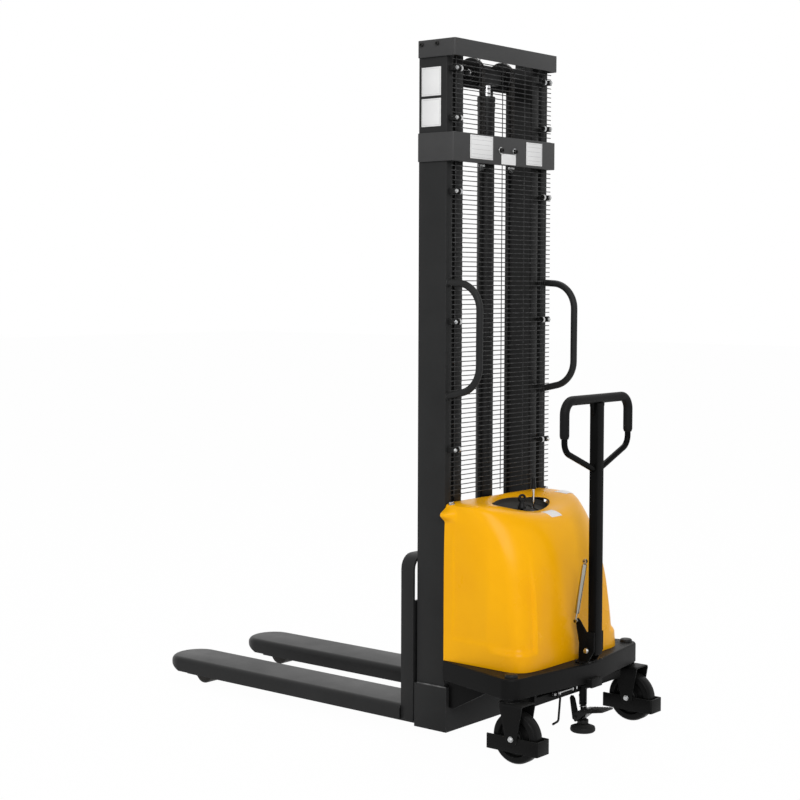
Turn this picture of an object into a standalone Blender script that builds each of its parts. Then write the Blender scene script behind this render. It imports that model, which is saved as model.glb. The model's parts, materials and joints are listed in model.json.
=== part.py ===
"""Walkie stacker: duplex mast, fork carriage over support legs, caster base, power pack, cover and tiller.

Metres, +Z up. +Y is the way the forks point, +X is the truck's right, Z = 0 is the floor.
"""
from math import atan2, cos, hypot, pi, sin

import bmesh
import bpy
from mathutils import Matrix, Vector

# Driving dimensions
FORK_LENGTH = 1.110
MAST_HEIGHT = 2.080
MAST_WIDTH = 0.522
MAST_DEPTH = 0.103
FORK_SPREAD = 0.550
FORK_WIDTH = 0.175
FORK_TOP = 0.086
COVER_HEIGHT = 0.474
CASTER_DIAMETER = 0.150
TILLER_LENGTH = 0.755

# Clearances
TOUCH = 0.0003
RUNNING = 0.0008

# Heights over the casters
CASTER_FORK_TOP = CASTER_DIAMETER + 0.024
DECK_RISE = 0.069
DECK_TOP = CASTER_FORK_TOP + DECK_RISE
CROSSBAR_LOW = CASTER_FORK_TOP - 0.026
CROSSBAR_BAR = 0.024

# Mast
FLOOR_CLEARANCE = 0.026
LOCK_BACK = 0.3225
PEDAL_LENGTH = 0.0865
BODY_LENGTH = MAST_DEPTH + LOCK_BACK + PEDAL_LENGTH
OVERALL_LENGTH = FORK_LENGTH + BODY_LENGTH
MAST_FRONT = OVERALL_LENGTH / 2 - FORK_LENGTH
MAST_REAR = MAST_FRONT - MAST_DEPTH
FLANGE = 0.012
FLANGE_TAPER = 0.001
WEB = 0.006
OUTER_REACH = 0.030
INNER_HALF = MAST_WIDTH / 2 - 0.0473
INNER_FLANGE_WIDTH = 0.0337
INNER_WEB = 0.008
INNER_FOOT = 0.050
INNER_TOP = MAST_HEIGHT - 0.037
BEAM_PLATE = 0.005
BEAM_HEIGHT = 0.051
BEAM_SETBACK = 0.035
BAND_SETBACK = 0.030
BAND_LOW = MAST_HEIGHT - 0.357
BAND_HEIGHT = 0.0845
GUARD_SETBACK = 0.017
GUARD_WIRE = 0.004
GUARD_LOW = DECK_TOP + COVER_HEIGHT + 0.018
GUARD_ROWS = 12
GUARD_COLUMNS = 4
ROLLER_RADIUS = MAST_DEPTH / 2 - FLANGE - FLANGE_TAPER - 0.0005
ROLLER_BORE = 0.015

# Lift cylinder, crosshead and chains
RAM_RADIUS = 0.0265
ROD_RADIUS = 0.015
RAM_TOP = MAST_HEIGHT - 0.145
SHEAVE_SETBACK = 0.055
SHEAVE_RADIUS = 0.041
SHEAVE_WIDTH = 0.022
SHEAVE_PIN = 0.010
SHEAVE_X = 0.077
SHEAVE_Z = MAST_HEIGHT - 0.080
CHAIN_WIDTH = 0.016
CHAIN_THICKNESS = 0.011
YOKE_HALF = 0.045
YOKE_LOW = MAST_HEIGHT - 0.110
YOKE_HIGH = MAST_HEIGHT - 0.064

# Carriage and forks
CARRIAGE_GAP = 0.010
CARRIAGE_DEPTH = 0.047
CARRIAGE_BAR = 0.010
CARRIAGE_TOP = 0.545
CARRIAGE_HALF = FORK_SPREAD / 2 - 0.007
CARRIAGE_LOW = 0.040
CARRIAGE_CORNER = 0.045
PLATE_THICKNESS = 0.012
PLATE_LOW = 0.082
PLATE_HIGH = 0.405
CHEEK_X = 0.150
CHEEK_THICKNESS = 0.010
FORK_SKIRT = 0.047
FORK_SHEET = 0.006
FORK_TAPER = 0.105
FORK_HEEL_HEIGHT = 0.330

# Support legs and load rollers
LEG_SIDE_ROOM = 0.020
LEG_OUTER_ROOM = 0.023
LEG_INNER = FORK_SPREAD / 2 - FORK_WIDTH + LEG_SIDE_ROOM
LEG_OUTER = FORK_SPREAD / 2 - LEG_OUTER_ROOM
LEG_LOW = 0.030
LEG_HIGH = 0.068
LEG_END = 0.100
LOAD_ROLLER_RADIUS = 0.037
LOAD_ROLLER_WIDTH = 0.080
LOAD_ROLLER_BACK = 0.150
LOAD_AXLE_RADIUS = 0.010
FOOT_HEIGHT = 0.133
FOOT_FRONT_HEIGHT = 0.100
CROSS_PLATE = 0.012

# Deck and casters
DECK_OVERHANG = 0.077
DECK_HALF = MAST_WIDTH / 2 + DECK_OVERHANG
DECK_SHEET = 0.005
DECK_RIM = 0.045
DECK_CORNER_BACK = 0.262
DECK_CORNER = 0.050
DECK_APEX = 0.359
SWIVEL_X = DECK_HALF - 0.028
SWIVEL_BACK = 0.280
CASTER_TRAIL = 0.024
CASTER_TREAD = 0.046
CASTER_BORE = 0.008
CASTER_SHEET = 0.004
GUARD_BAR_HEIGHT = 0.043
GUARD_BAR_LOW = 0.036
GUARD_BAR_SHEET = 0.005
CROSSBAR_BACK = 0.259

# Cover and its panel
COVER_WALL = 0.004
COVER_FRONT = MAST_REAR - 0.0015
COVER_HALF = MAST_WIDTH / 2 + 0.001
COVER_BULGE = 0.024
COVER_SPANS = 24
DISH_BACK = 0.1365
DISH_HALF_WIDTH = 0.200
DISH_HALF_DEPTH = 0.105
DISH_DEPTH = 0.030
PANEL_X = -0.007
PANEL_BACK = 0.0965
PANEL_LONG = 0.128
PANEL_SHORT = 0.058
PANEL_SLOPE = 0.33
PANEL_WALL = 0.003
PANEL_SHEET = 0.006
PANEL_FLOOR = DECK_TOP + COVER_HEIGHT - 0.043
PANEL_RIM = DECK_TOP + COVER_HEIGHT - 0.0190

# Tiller and its strut
TILLER_BACK = 0.3625
TILLER_WIDE = 0.038
TILLER_DEEP = 0.0275
TILLER_PIVOT_BACK = 0.349
TILLER_PIVOT_Z = DECK_TOP + 0.038
HANDLE_HALF = 0.172
HANDLE_TUBE = 0.0090
GRIP_RADIUS = 0.0140
STRUT_X = -0.0375
STRUT_FOOT_BACK = 0.3177
STRUT_FOOT_Z = DECK_TOP + 0.124
STRUT_HEAD_BACK = 0.3494
STRUT_HEAD_Z = DECK_TOP + 0.3055

SIDES = (("left", -1), ("right", 1))

# Materials: colour, roughness, metallic
FINISHES = {
    "frame_paint": ((0.035, 0.036, 0.039), 0.45, 0.0),
    "cover_paint": ((1.0, 0.52, 0.01), 0.18, 0.0),
    "bright_steel": ((0.62, 0.62, 0.63), 0.25, 1.0),
    "dark_steel": ((0.10, 0.10, 0.11), 0.40, 1.0),
    "black_plastic": ((0.012, 0.012, 0.013), 0.55, 0.0),
    "grey_plastic": ((0.10, 0.10, 0.11), 0.60, 0.0),
    "rubber": ((0.020, 0.020, 0.021), 0.85, 0.0),
    "nylon": ((0.045, 0.045, 0.048), 0.50, 0.0),
    "polyurethane": ((0.22, 0.20, 0.17), 0.45, 0.0),
    "galvanised": ((0.45, 0.46, 0.47), 0.45, 1.0),
}


def start_scene():
    """Empty the scene and make the collections for the parts and for the cutters."""
    for old in list(bpy.data.objects):
        bpy.data.objects.remove(old)
    parts = bpy.data.collections.new("walkie_stacker")
    tools = bpy.data.collections.new("cutters")
    for collection in (parts, tools):
        bpy.context.scene.collection.children.link(collection)
    return parts, tools


PARTS, TOOLS = start_scene()


def finish(name):
    """The Principled material of one finish, made once."""
    if name in bpy.data.materials:
        return bpy.data.materials[name]
    colour, roughness, metallic = FINISHES[name]
    material = bpy.data.materials.new(name)
    material.use_nodes = True
    shader = material.node_tree.nodes["Principled BSDF"]
    shader.inputs["Base Color"].default_value = (*colour, 1.0)
    shader.inputs["Roughness"].default_value = roughness
    shader.inputs["Metallic"].default_value = metallic
    material.diffuse_color = (*colour, 1.0)
    return material


def link(name, data, paint, location=(0, 0, 0), rotation=(0, 0, 0)):
    """Put object data in the parts collection, or among the cutters where it has no paint."""
    thing = bpy.data.objects.new(name, data)
    thing.location = location
    thing.rotation_euler = rotation
    if paint is None:
        TOOLS.objects.link(thing)
        thing.hide_render = True
        thing.display_type = "WIRE"
    else:
        PARTS.objects.link(thing)
        data.materials.append(finish(paint))
    return thing


def mesh_from(builder, smooth_angle=None):
    """A new mesh from a function that fills a bmesh."""
    shape = bmesh.new()
    builder(shape)
    mesh = bpy.data.meshes.new("shape")
    shape.to_mesh(mesh)
    shape.free()
    if smooth_angle:
        mesh.shade_smooth()
        mesh.set_sharp_from_angle(angle=smooth_angle)
    return mesh


def box(name, low, high, paint, round_edge=0.0):
    """A block between two corners, centred on its own origin."""
    low = Vector(low)
    high = Vector(high)
    size = high - low

    def build(shape):
        bmesh.ops.create_cube(shape, size=1.0)
        bmesh.ops.scale(shape, vec=size, verts=shape.verts)

    block = link(name, mesh_from(build), paint, (low + high) / 2)
    if round_edge:
        soften(block, round_edge)
    return block


def soften(thing, width, segments=2, angle=0.6):
    """Rounded edges where faces meet at more than the given angle."""
    bevel = thing.modifiers.new("edges", "BEVEL")
    bevel.width = width
    bevel.segments = segments
    bevel.limit_method = "ANGLE"
    bevel.angle_limit = angle
    return thing


TURN = {"X": (0, pi / 2, 0), "Y": (-pi / 2, 0, 0), "Z": (0, 0, 0)}


def rod(name, centre, axis, radius, length, paint, sides=24, top_radius=None):
    """A round bar along X, Y or Z about its own centre."""
    top = radius if top_radius is None else top_radius

    def build(shape):
        bmesh.ops.create_cone(shape, cap_ends=True, segments=sides, radius1=radius, radius2=top, depth=length)

    return link(name, mesh_from(build, 0.6), paint, centre, TURN[axis])


PLANES = {"XY": (0, 0, 0), "XZ": (pi / 2, 0, 0), "YZ": (pi / 2, 0, pi / 2)}


def plate(name, outlines, plane, centre, thickness, paint):
    """Flat outlines, the first the outside and the rest holes, given a thickness across their plane."""
    curve = bpy.data.curves.new("outline", "CURVE")
    curve.dimensions = "2D"
    curve.fill_mode = "BOTH"
    curve.extrude = thickness / 2
    curve.resolution_u = 1
    for outline in outlines:
        spline = curve.splines.new("POLY")
        spline.points.add(len(outline) - 1)
        for point, (across, up) in zip(spline.points, outline):
            point.co = (across, up, 0, 1)
        spline.use_cyclic_u = True
    drawn = link(name + "_outline", curve, None, centre, PLANES[plane])
    return solid(name, drawn, paint)


def tube(name, points, radius, paint, resolution=3):
    """A round tube with capped ends along a list of points."""
    curve = bpy.data.curves.new("path", "CURVE")
    curve.dimensions = "3D"
    curve.bevel_depth = radius
    curve.bevel_resolution = resolution
    curve.use_fill_caps = True
    spline = curve.splines.new("POLY")
    spline.points.add(len(points) - 1)
    for point, place in zip(spline.points, points):
        point.co = (*place, 1)
    drawn = link(name + "_path", curve, None)
    return solid(name, drawn, paint)


def solid(name, drawn, paint):
    """The closed mesh of a drawn curve, which replaces the curve."""
    bpy.context.view_layer.update()
    evaluated = drawn.evaluated_get(bpy.context.evaluated_depsgraph_get())
    mesh = bpy.data.meshes.new_from_object(evaluated)
    shape = bmesh.new()
    shape.from_mesh(mesh)
    bmesh.ops.remove_doubles(shape, verts=shape.verts, dist=0.00001)
    bmesh.ops.recalc_face_normals(shape, faces=shape.faces)
    shape.to_mesh(mesh)
    shape.free()
    mesh.materials.clear()
    mesh.shade_smooth()
    mesh.set_sharp_from_angle(angle=0.6)
    made = link(name, mesh, paint)
    made.matrix_world = drawn.matrix_world.copy()
    bpy.data.objects.remove(drawn)
    return made


def turned(name, profile, centre, axis, paint, steps=24):
    """A profile of (radius, height) from top to bottom, turned about its axis. A ring's profile is a loop."""
    mesh = bpy.data.meshes.new("profile")
    corners = [(radius, 0, height) for radius, height in profile]
    edges = [(step, step + 1) for step in range(len(corners) - 1)]
    if profile[0][0] > 0 and profile[-1][0] > 0:
        edges.append((len(corners) - 1, 0))
    mesh.from_pydata(corners, edges, [])
    made = link(name, mesh, paint, centre, TURN[axis])
    screw = made.modifiers.new("turn", "SCREW")
    screw.steps = steps
    screw.render_steps = steps
    screw.use_merge_vertices = True
    screw.merge_threshold = 0.00001
    return made


def combine(thing, other, operation):
    """Cut or join one mesh with another, which goes to the cutters."""
    boolean = thing.modifiers.new(operation.lower(), "BOOLEAN")
    boolean.operation = operation
    boolean.object = other
    boolean.solver = "EXACT"
    return thing


def cut(thing, *cutters):
    for cutter in cutters:
        combine(thing, cutter, "DIFFERENCE")
    return thing


def join(thing, *others):
    for other in others:
        combine(thing, other, "UNION")
    return thing


def pivot(name, place, parent=None):
    """An empty on a joint's axis, which carries the pieces that move about it."""
    empty = bpy.data.objects.new(name, None)
    empty.location = place
    empty.empty_display_size = 0.05
    PARTS.objects.link(empty)
    if parent:
        empty.parent = parent
        bpy.context.view_layer.update()
        empty.matrix_parent_inverse = parent.matrix_world.inverted()
    return empty


def carry(parent, *things):
    """Parent pieces to an empty without moving them."""
    bpy.context.view_layer.update()
    for thing in things:
        thing.parent = parent
        thing.matrix_parent_inverse = parent.matrix_world.inverted()


def rounded(corners, radius, steps=5):
    """An open path with each inner corner replaced by an arc."""
    corners = [Vector(corner) for corner in corners]
    path = [corners[0]]
    for before, corner, after in zip(corners, corners[1:], corners[2:]):
        inward = (before - corner).normalized()
        outward = (after - corner).normalized()
        half_angle = inward.angle(outward) / 2
        reach = radius / sin(half_angle)
        centre = corner + (inward + outward).normalized() * reach
        start = (corner + inward * (reach * cos(half_angle)) - centre).normalized()
        end = (corner + outward * (reach * cos(half_angle)) - centre).normalized()
        for step in range(steps + 1):
            path.append(centre + start.slerp(end, step / steps) * radius)
    path.append(corners[-1])
    return path


def arc(centre, radius, start, end, steps):
    """Points on an arc in a plane, angles in radians."""
    points = []
    for step in range(steps + 1):
        angle = start + (end - start) * step / steps
        points.append((centre[0] + radius * cos(angle), centre[1] + radius * sin(angle)))
    return points


def rectangle(low, high):
    return [(low[0], low[1]), (high[0], low[1]), (high[0], high[1]), (low[0], high[1])]


def mirror_x(outline):
    return [(-across, along) for across, along in reversed(outline)]


# Outer mast -----------------------------------------------------------------------------------

OUTER_HALF = MAST_WIDTH / 2
MAST_MIDDLE = (MAST_FRONT + MAST_REAR) / 2


def outer_rail(side, sign):
    """Channel rail with its web outside, and the stub axle of the top guide roller."""
    tip = OUTER_HALF - OUTER_REACH
    root = FLANGE + FLANGE_TAPER
    outline = [
        (OUTER_HALF, MAST_FRONT), (tip, MAST_FRONT), (tip, MAST_FRONT - FLANGE),
        (OUTER_HALF - WEB, MAST_FRONT - root), (OUTER_HALF - WEB, MAST_REAR + root),
        (tip, MAST_REAR + FLANGE), (tip, MAST_REAR), (OUTER_HALF, MAST_REAR),
    ]
    if sign < 0:
        outline = mirror_x(outline)
    low = FLOOR_CLEARANCE
    high = MAST_HEIGHT - 0.002
    rail = plate("outer_rail_" + side, [outline], "XY", (0, 0, (low + high) / 2), high - low, "frame_paint")
    reach = (OUTER_HALF - WEB / 2) - (UPPER_ROLLER_X - GUIDE_WIDTH / 2)
    middle = OUTER_HALF - WEB / 2 - reach / 2
    axle = rod("upper_axle_" + side, (sign * middle, MAST_MIDDLE, UPPER_ROLLER_Z), "X",
               ROLLER_BORE - RUNNING, reach, None, 16)
    return join(rail, axle)


GUIDE_WIDTH = 0.026
INNER_WEB_X = INNER_HALF - INNER_FLANGE_WIDTH / 2
UPPER_ROLLER_Z = MAST_HEIGHT - 0.125
UPPER_ROLLER_X = INNER_WEB_X + INNER_WEB / 2 + TOUCH * 5 + GUIDE_WIDTH / 2
LOWER_ROLLER_Z = INNER_FOOT + 0.050
LOWER_ROLLER_X = OUTER_HALF - WEB - TOUCH * 5 - GUIDE_WIDTH / 2


def roller(name, x, y, z, paint="bright_steel", radius=ROLLER_RADIUS, width=GUIDE_WIDTH, bore=ROLLER_BORE):
    """A plain roller with a bore, its axis along X."""
    edge = 0.0015
    half = width / 2
    profile = [
        (bore, half), (radius - edge, half), (radius, half - edge), (radius, -half + edge),
        (radius - edge, -half), (bore, -half),
    ]
    return turned(name, profile, (x, y, z), "X", paint, 20)


def wrap_plate(name, setback, low, height):
    """A folded plate round the back of both rails."""
    inside = OUTER_HALF + TOUCH
    outside = inside + BEAM_PLATE
    rear = MAST_REAR - setback
    corner = 0.008
    outer = [(outside, MAST_FRONT)]
    outer += [(-outside, MAST_FRONT), *arc((-outside + corner, rear + corner), corner, pi, 1.5 * pi, 3)]
    outer += arc((outside - corner, rear + corner), corner, 1.5 * pi, 2 * pi, 3)
    wall = rear + BEAM_PLATE
    inner = [(inside, MAST_FRONT), (inside, wall), (-inside, wall), (-inside, MAST_FRONT)]
    outline = inner + outer[1:]
    return plate(name, [outline], "XY", (0, 0, low + height / 2), height, "frame_paint")


def anchor_beam():
    """Cross plate behind the inner mast, with a shelf for each chain's fixed end."""
    front = MAST_REAR - TOUCH
    low = BAND_LOW + 0.012
    beam = box("chain_anchor_beam", (-OUTER_HALF, front - 0.011, low), (OUTER_HALF, front, low + 0.060),
               "frame_paint")
    for side, sign in SIDES:
        shelf = box("anchor_shelf_" + side, (sign * SHEAVE_X - 0.012, front - 0.005, low),
                    (sign * SHEAVE_X + 0.012, CHAIN_REAR + 0.008, low + 0.010), None)
        stud = rod("anchor_stud_" + side, (sign * SHEAVE_X, CHAIN_REAR, low), "Z", 0.005, 0.060, None, 12)
        join(beam, shelf, stud)
    return beam


SHEAVE_Y = MAST_FRONT - SHEAVE_SETBACK
CHAIN_REAR = SHEAVE_Y - SHEAVE_RADIUS
CHAIN_FRONT = SHEAVE_Y + SHEAVE_RADIUS
ANCHOR_TOP = BAND_LOW + 0.012 + 0.030


def guard():
    """Welded wire guard behind the mast, with the clips that hold it to the rails."""
    half = OUTER_HALF - 0.0245
    high = MAST_HEIGHT - 0.010
    column = (2 * half - GUARD_WIRE) / GUARD_COLUMNS
    row = (high - GUARD_LOW - GUARD_WIRE) / GUARD_ROWS
    outlines = [rectangle((-half, GUARD_LOW), (half, high))]
    for across in range(GUARD_COLUMNS):
        for up in range(GUARD_ROWS):
            left = -half + GUARD_WIRE + across * column
            low = GUARD_LOW + GUARD_WIRE + up * row
            outlines.append(rectangle((left, low), (left + column - GUARD_WIRE, low + row - GUARD_WIRE)))
    rear = MAST_REAR - GUARD_SETBACK
    mesh = plate("guard_mesh", outlines, "XZ", (0, rear, 0), GUARD_WIRE, "galvanised")
    clip_rows = (0.2, 2.6, 5.2, 7.8, 10.4)
    for side, sign in SIDES:
        for place in clip_rows:
            low = GUARD_LOW + place * row
            inner = sign * (half - 0.0048)
            outer = sign * (half - 0.0002)
            clip = box("guard_clip", (min(inner, outer), rear - 0.001, low),
                       (max(inner, outer), MAST_REAR - TOUCH, low + 0.016), None)
            join(mesh, clip)
    return mesh


def grab_handle(side, sign):
    """Bent tube handle on the rear flange of a rail."""
    x = sign * (OUTER_HALF - 0.012)
    low = DECK_TOP + 0.787
    high = low + 0.337
    start = MAST_REAR - TOUCH
    back = MAST_REAR - 0.117
    corners = [(x, start, low), (x, back, low), (x, back, high), (x, start, high)]
    return tube("grab_handle_" + side, rounded(corners, 0.055), 0.0105, "frame_paint")


def lift_cylinder():
    """Single-acting cylinder tube with its gland at the top and its oil port near the foot."""
    low = BASE_PLATE_TOP + TOUCH
    bore = ROD_RADIUS + RUNNING
    gland = 0.028
    profile = [
        (0, low + 0.030), (bore, low + 0.030), (bore, RAM_TOP), (gland, RAM_TOP), (gland, RAM_TOP - 0.030),
        (RAM_RADIUS, RAM_TOP - 0.032), (RAM_RADIUS, low), (0, low),
    ]
    body = turned("lift_cylinder", profile, (0, SHEAVE_Y, 0), "Z", "frame_paint")
    port = rod("cylinder_port", (0, SHEAVE_Y - RAM_RADIUS, PORT_Z), "Y", 0.010, 0.018, None, 12)
    return join(body, port)


PORT_Z = DECK_TOP + 0.035
BASE_PLATE_TOP = FLOOR_CLEARANCE + 0.015


# Support legs ---------------------------------------------------------------------------------

def support_legs():
    """Welded base: floor plate, rear cross plate, the feet round the rails, and two legs with axles."""
    front = MAST_FRONT + 0.0058
    inside = OUTER_HALF - OUTER_REACH - TOUCH
    base = box("support_legs", (-inside, MAST_REAR - 0.006, FLOOR_CLEARANCE), (inside, front, BASE_PLATE_TOP),
               "frame_paint")
    outside = OUTER_HALF + TOUCH + BEAM_PLATE
    rear_plate = box("rear_cross_plate", (-outside, MAST_REAR - TOUCH - CROSS_PLATE, FLOOR_CLEARANCE),
                     (outside, MAST_REAR - TOUCH, FLOOR_CLEARANCE + FOOT_HEIGHT), None)
    join(base, rear_plate)
    for side, sign in SIDES:
        side_height = (FLOOR_CLEARANCE, FLOOR_CLEARANCE + FOOT_HEIGHT)
        side_plate = span_box("foot_side_" + side, sign, OUTER_HALF + TOUCH, outside,
                              (MAST_REAR - 0.002, front), side_height)
        front_height = (FLOOR_CLEARANCE, FLOOR_CLEARANCE + FOOT_FRONT_HEIGHT)
        front_plate = span_box("foot_front_" + side, sign, inside + 0.0008, outside - 0.001,
                               (MAST_FRONT + TOUCH, front + 0.001), front_height)
        leg = span_box("leg_" + side, sign, LEG_INNER, LEG_OUTER,
                       (front - 0.002, LEG_TIP), (LEG_LOW, LEG_HIGH))
        middle = (LEG_INNER + LEG_OUTER) / 2
        half = LOAD_ROLLER_WIDTH / 2 + RUNNING
        slot = span_box("leg_slot_" + side, sign, middle - half, middle + half,
                        (LOAD_ROLLER_Y - LOAD_ROLLER_RADIUS - 0.006, LEG_TIP + 0.01), (0.0, 0.1))
        axle = rod("load_axle_" + side, (sign * middle, LOAD_ROLLER_Y, LOAD_ROLLER_RADIUS), "X",
                   LOAD_AXLE_RADIUS, LEG_OUTER - LEG_INNER - 0.002, None, 16)
        join(base, side_plate, front_plate, leg)
        cut(base, slot)
        join(base, axle)
    return base


FORK_TIP = OVERALL_LENGTH / 2
LOAD_ROLLER_Y = FORK_TIP - LOAD_ROLLER_BACK
LEG_TIP = FORK_TIP - LEG_END


def span_box(name, sign, inner, outer, depth, height, paint=None, round_edge=0.0):
    """A block between two distances from the middle plane, on the left or the right."""
    low = (min(sign * inner, sign * outer), depth[0], height[0])
    high = (max(sign * inner, sign * outer), depth[1], height[1])
    return box(name, low, high, paint, round_edge)


def load_roller(side, sign):
    middle = sign * (LEG_INNER + LEG_OUTER) / 2
    bore = LOAD_AXLE_RADIUS + RUNNING
    return roller("load_roller_" + side, middle, LOAD_ROLLER_Y, LOAD_ROLLER_RADIUS, "polyurethane",
                  LOAD_ROLLER_RADIUS, LOAD_ROLLER_WIDTH, bore)


# Inner mast -----------------------------------------------------------------------------------

def inner_rail(side, sign):
    """I-section rail with the stub axle of its lower guide roller."""
    outer = INNER_HALF
    inner = INNER_HALF - INNER_FLANGE_WIDTH
    near = INNER_WEB_X + INNER_WEB / 2
    far = INNER_WEB_X - INNER_WEB / 2
    front = MAST_FRONT
    rear = MAST_REAR
    root = FLANGE + FLANGE_TAPER
    outline = [
        (outer, front), (inner, front), (inner, front - FLANGE), (far, front - root),
        (far, rear + root), (inner, rear + FLANGE), (inner, rear), (outer, rear),
        (outer, rear + FLANGE), (near, rear + root), (near, front - root), (outer, front - FLANGE),
    ]
    if sign < 0:
        outline = mirror_x(outline)
    rail = plate("inner_rail_" + side, [outline], "XY", (0, 0, (INNER_FOOT + INNER_TOP) / 2),
                 INNER_TOP - INNER_FOOT, "dark_steel")
    end = LOWER_ROLLER_X + GUIDE_WIDTH / 2
    axle = rod("lower_axle_" + side, (sign * (INNER_WEB_X + end) / 2, MAST_MIDDLE, LOWER_ROLLER_Z), "X",
               ROLLER_BORE - RUNNING, end - INNER_WEB_X, None, 16)
    return join(rail, axle)


def inner_ties():
    """Cross members that hold the inner rails together at the top and the foot."""
    thickness = CARRIAGE_GAP - 0.0017
    top = box("inner_top_beam", (-INNER_HALF, MAST_FRONT + TOUCH, INNER_TOP - 0.077),
              (INNER_HALF, MAST_FRONT + TOUCH + thickness, INNER_TOP), "frame_paint")
    inside = INNER_HALF - INNER_FLANGE_WIDTH - TOUCH
    foot = box("inner_foot_tie", (-inside, MAST_FRONT - 0.026, INNER_FOOT - 0.006),
               (inside, MAST_FRONT - 0.001, INNER_FOOT + 0.006), "frame_paint")
    return top, foot


def crosshead():
    """Block on the rod's end, with the pin that carries both chain wheels."""
    yoke = box("crosshead", (-YOKE_HALF, SHEAVE_Y - 0.025, YOKE_LOW), (YOKE_HALF, MAST_FRONT, YOKE_HIGH),
               "frame_paint", 0.002)
    pin_length = 2 * (SHEAVE_X + SHEAVE_WIDTH / 2 + 0.005)
    pin = rod("sheave_pin", (0, SHEAVE_Y, SHEAVE_Z), "X", SHEAVE_PIN, pin_length, None, 16)
    return join(yoke, pin)


def piston_rod():
    low = BASE_PLATE_TOP + 0.040
    high = YOKE_LOW - TOUCH
    return rod("piston_rod", (0, SHEAVE_Y, (low + high) / 2), "Z", ROD_RADIUS, high - low, "bright_steel")


def sheave(side, sign):
    """Chain wheel with a flanged groove."""
    half = SHEAVE_WIDTH / 2
    groove = CHAIN_WIDTH / 2 + 0.001
    root = SHEAVE_RADIUS - CHAIN_THICKNESS / 2 - TOUCH
    rim = SHEAVE_RADIUS + 0.004
    bore = SHEAVE_PIN + RUNNING
    profile = [
        (bore, half), (rim, half), (rim, groove), (root, groove), (root, -groove), (rim, -groove),
        (rim, -half), (bore, -half),
    ]
    centre = (sign * SHEAVE_X, SHEAVE_Y, SHEAVE_Z)
    return turned("chain_wheel_" + side, profile, centre, "X", "dark_steel", 20)


def chains(side, sign):
    """The two straight runs of a leaf chain, in front of and behind its wheel."""
    x = sign * SHEAVE_X
    half = CHAIN_WIDTH / 2
    thick = CHAIN_THICKNESS / 2
    front = box("chain_front_" + side, (x - half, CHAIN_FRONT - thick, CHAIN_SHELF_Z + 0.010 + TOUCH),
                (x + half, CHAIN_FRONT + thick, SHEAVE_Z), "dark_steel")
    rear = box("chain_rear_" + side, (x - half, CHAIN_REAR - thick, ANCHOR_TOP + TOUCH),
               (x + half, CHAIN_REAR + thick, SHEAVE_Z), "dark_steel")
    return front, rear


CHAIN_SHELF_Z = 0.300


# Carriage -------------------------------------------------------------------------------------

CARRIAGE_BACK = MAST_FRONT + CARRIAGE_GAP
CARRIAGE_FRONT = CARRIAGE_BACK + CARRIAGE_DEPTH
CARRIAGE_ROLLERS = (("lower", 0.115), ("upper", 0.375))
CARRIAGE_ROLLER_X = INNER_WEB_X - INNER_WEB / 2 - TOUCH * 5 - GUIDE_WIDTH / 2


def carriage():
    """Bent flat-bar frame with its back plate, the roller cheeks, their axles and the chain shelves."""
    outer = CARRIAGE_HALF
    inner = CARRIAGE_HALF - CARRIAGE_BAR
    bend = CARRIAGE_CORNER
    top = CARRIAGE_TOP
    high = top - CARRIAGE_BAR
    low = CARRIAGE_LOW
    outline = [(outer, low), *arc((outer - bend, top - bend), bend, 0, pi / 2, 6)]
    outline += [*arc((-outer + bend, top - bend), bend, pi / 2, pi, 6), (-outer, low), (-inner, low)]
    small = bend - CARRIAGE_BAR
    outline += arc((-inner + small, high - small), small, pi, pi / 2, 6)
    outline += [*arc((inner - small, high - small), small, pi / 2, 0, 6), (inner, low)]
    frame = plate("carriage_frame", [outline], "XZ", (0, (CARRIAGE_BACK + CARRIAGE_FRONT) / 2, 0),
                  CARRIAGE_DEPTH, "frame_paint")
    back = box("carriage_plate", (-inner - 0.002, PLATE_BACK, PLATE_LOW),
               (inner + 0.002, PLATE_BACK + PLATE_THICKNESS, PLATE_HIGH), None)
    join(frame, back)
    for side, sign in SIDES:
        cheek = span_box("cheek_" + side, sign, CHEEK_X, CHEEK_X + CHEEK_THICKNESS,
                         (MAST_REAR + 0.013, PLATE_BACK + 0.004), (PLATE_LOW - 0.010, PLATE_HIGH + 0.020))
        shelf = span_box("chain_shelf_" + side, sign, SHEAVE_X - 0.012, SHEAVE_X + 0.012,
                         (CHAIN_FRONT - 0.008, PLATE_BACK + 0.004), (CHAIN_SHELF_Z, CHAIN_SHELF_Z + 0.010))
        join(frame, cheek, shelf)
        for level, height in CARRIAGE_ROLLERS:
            end = CARRIAGE_ROLLER_X + GUIDE_WIDTH / 2
            start = CHEEK_X + CHEEK_THICKNESS / 2
            axle = rod("carriage_axle", (sign * (start + end) / 2, MAST_MIDDLE, height), "X",
                       ROLLER_BORE - RUNNING, end - start, None, 16)
            join(frame, axle)
    return frame


PLATE_BACK = CARRIAGE_BACK + 0.002


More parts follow.
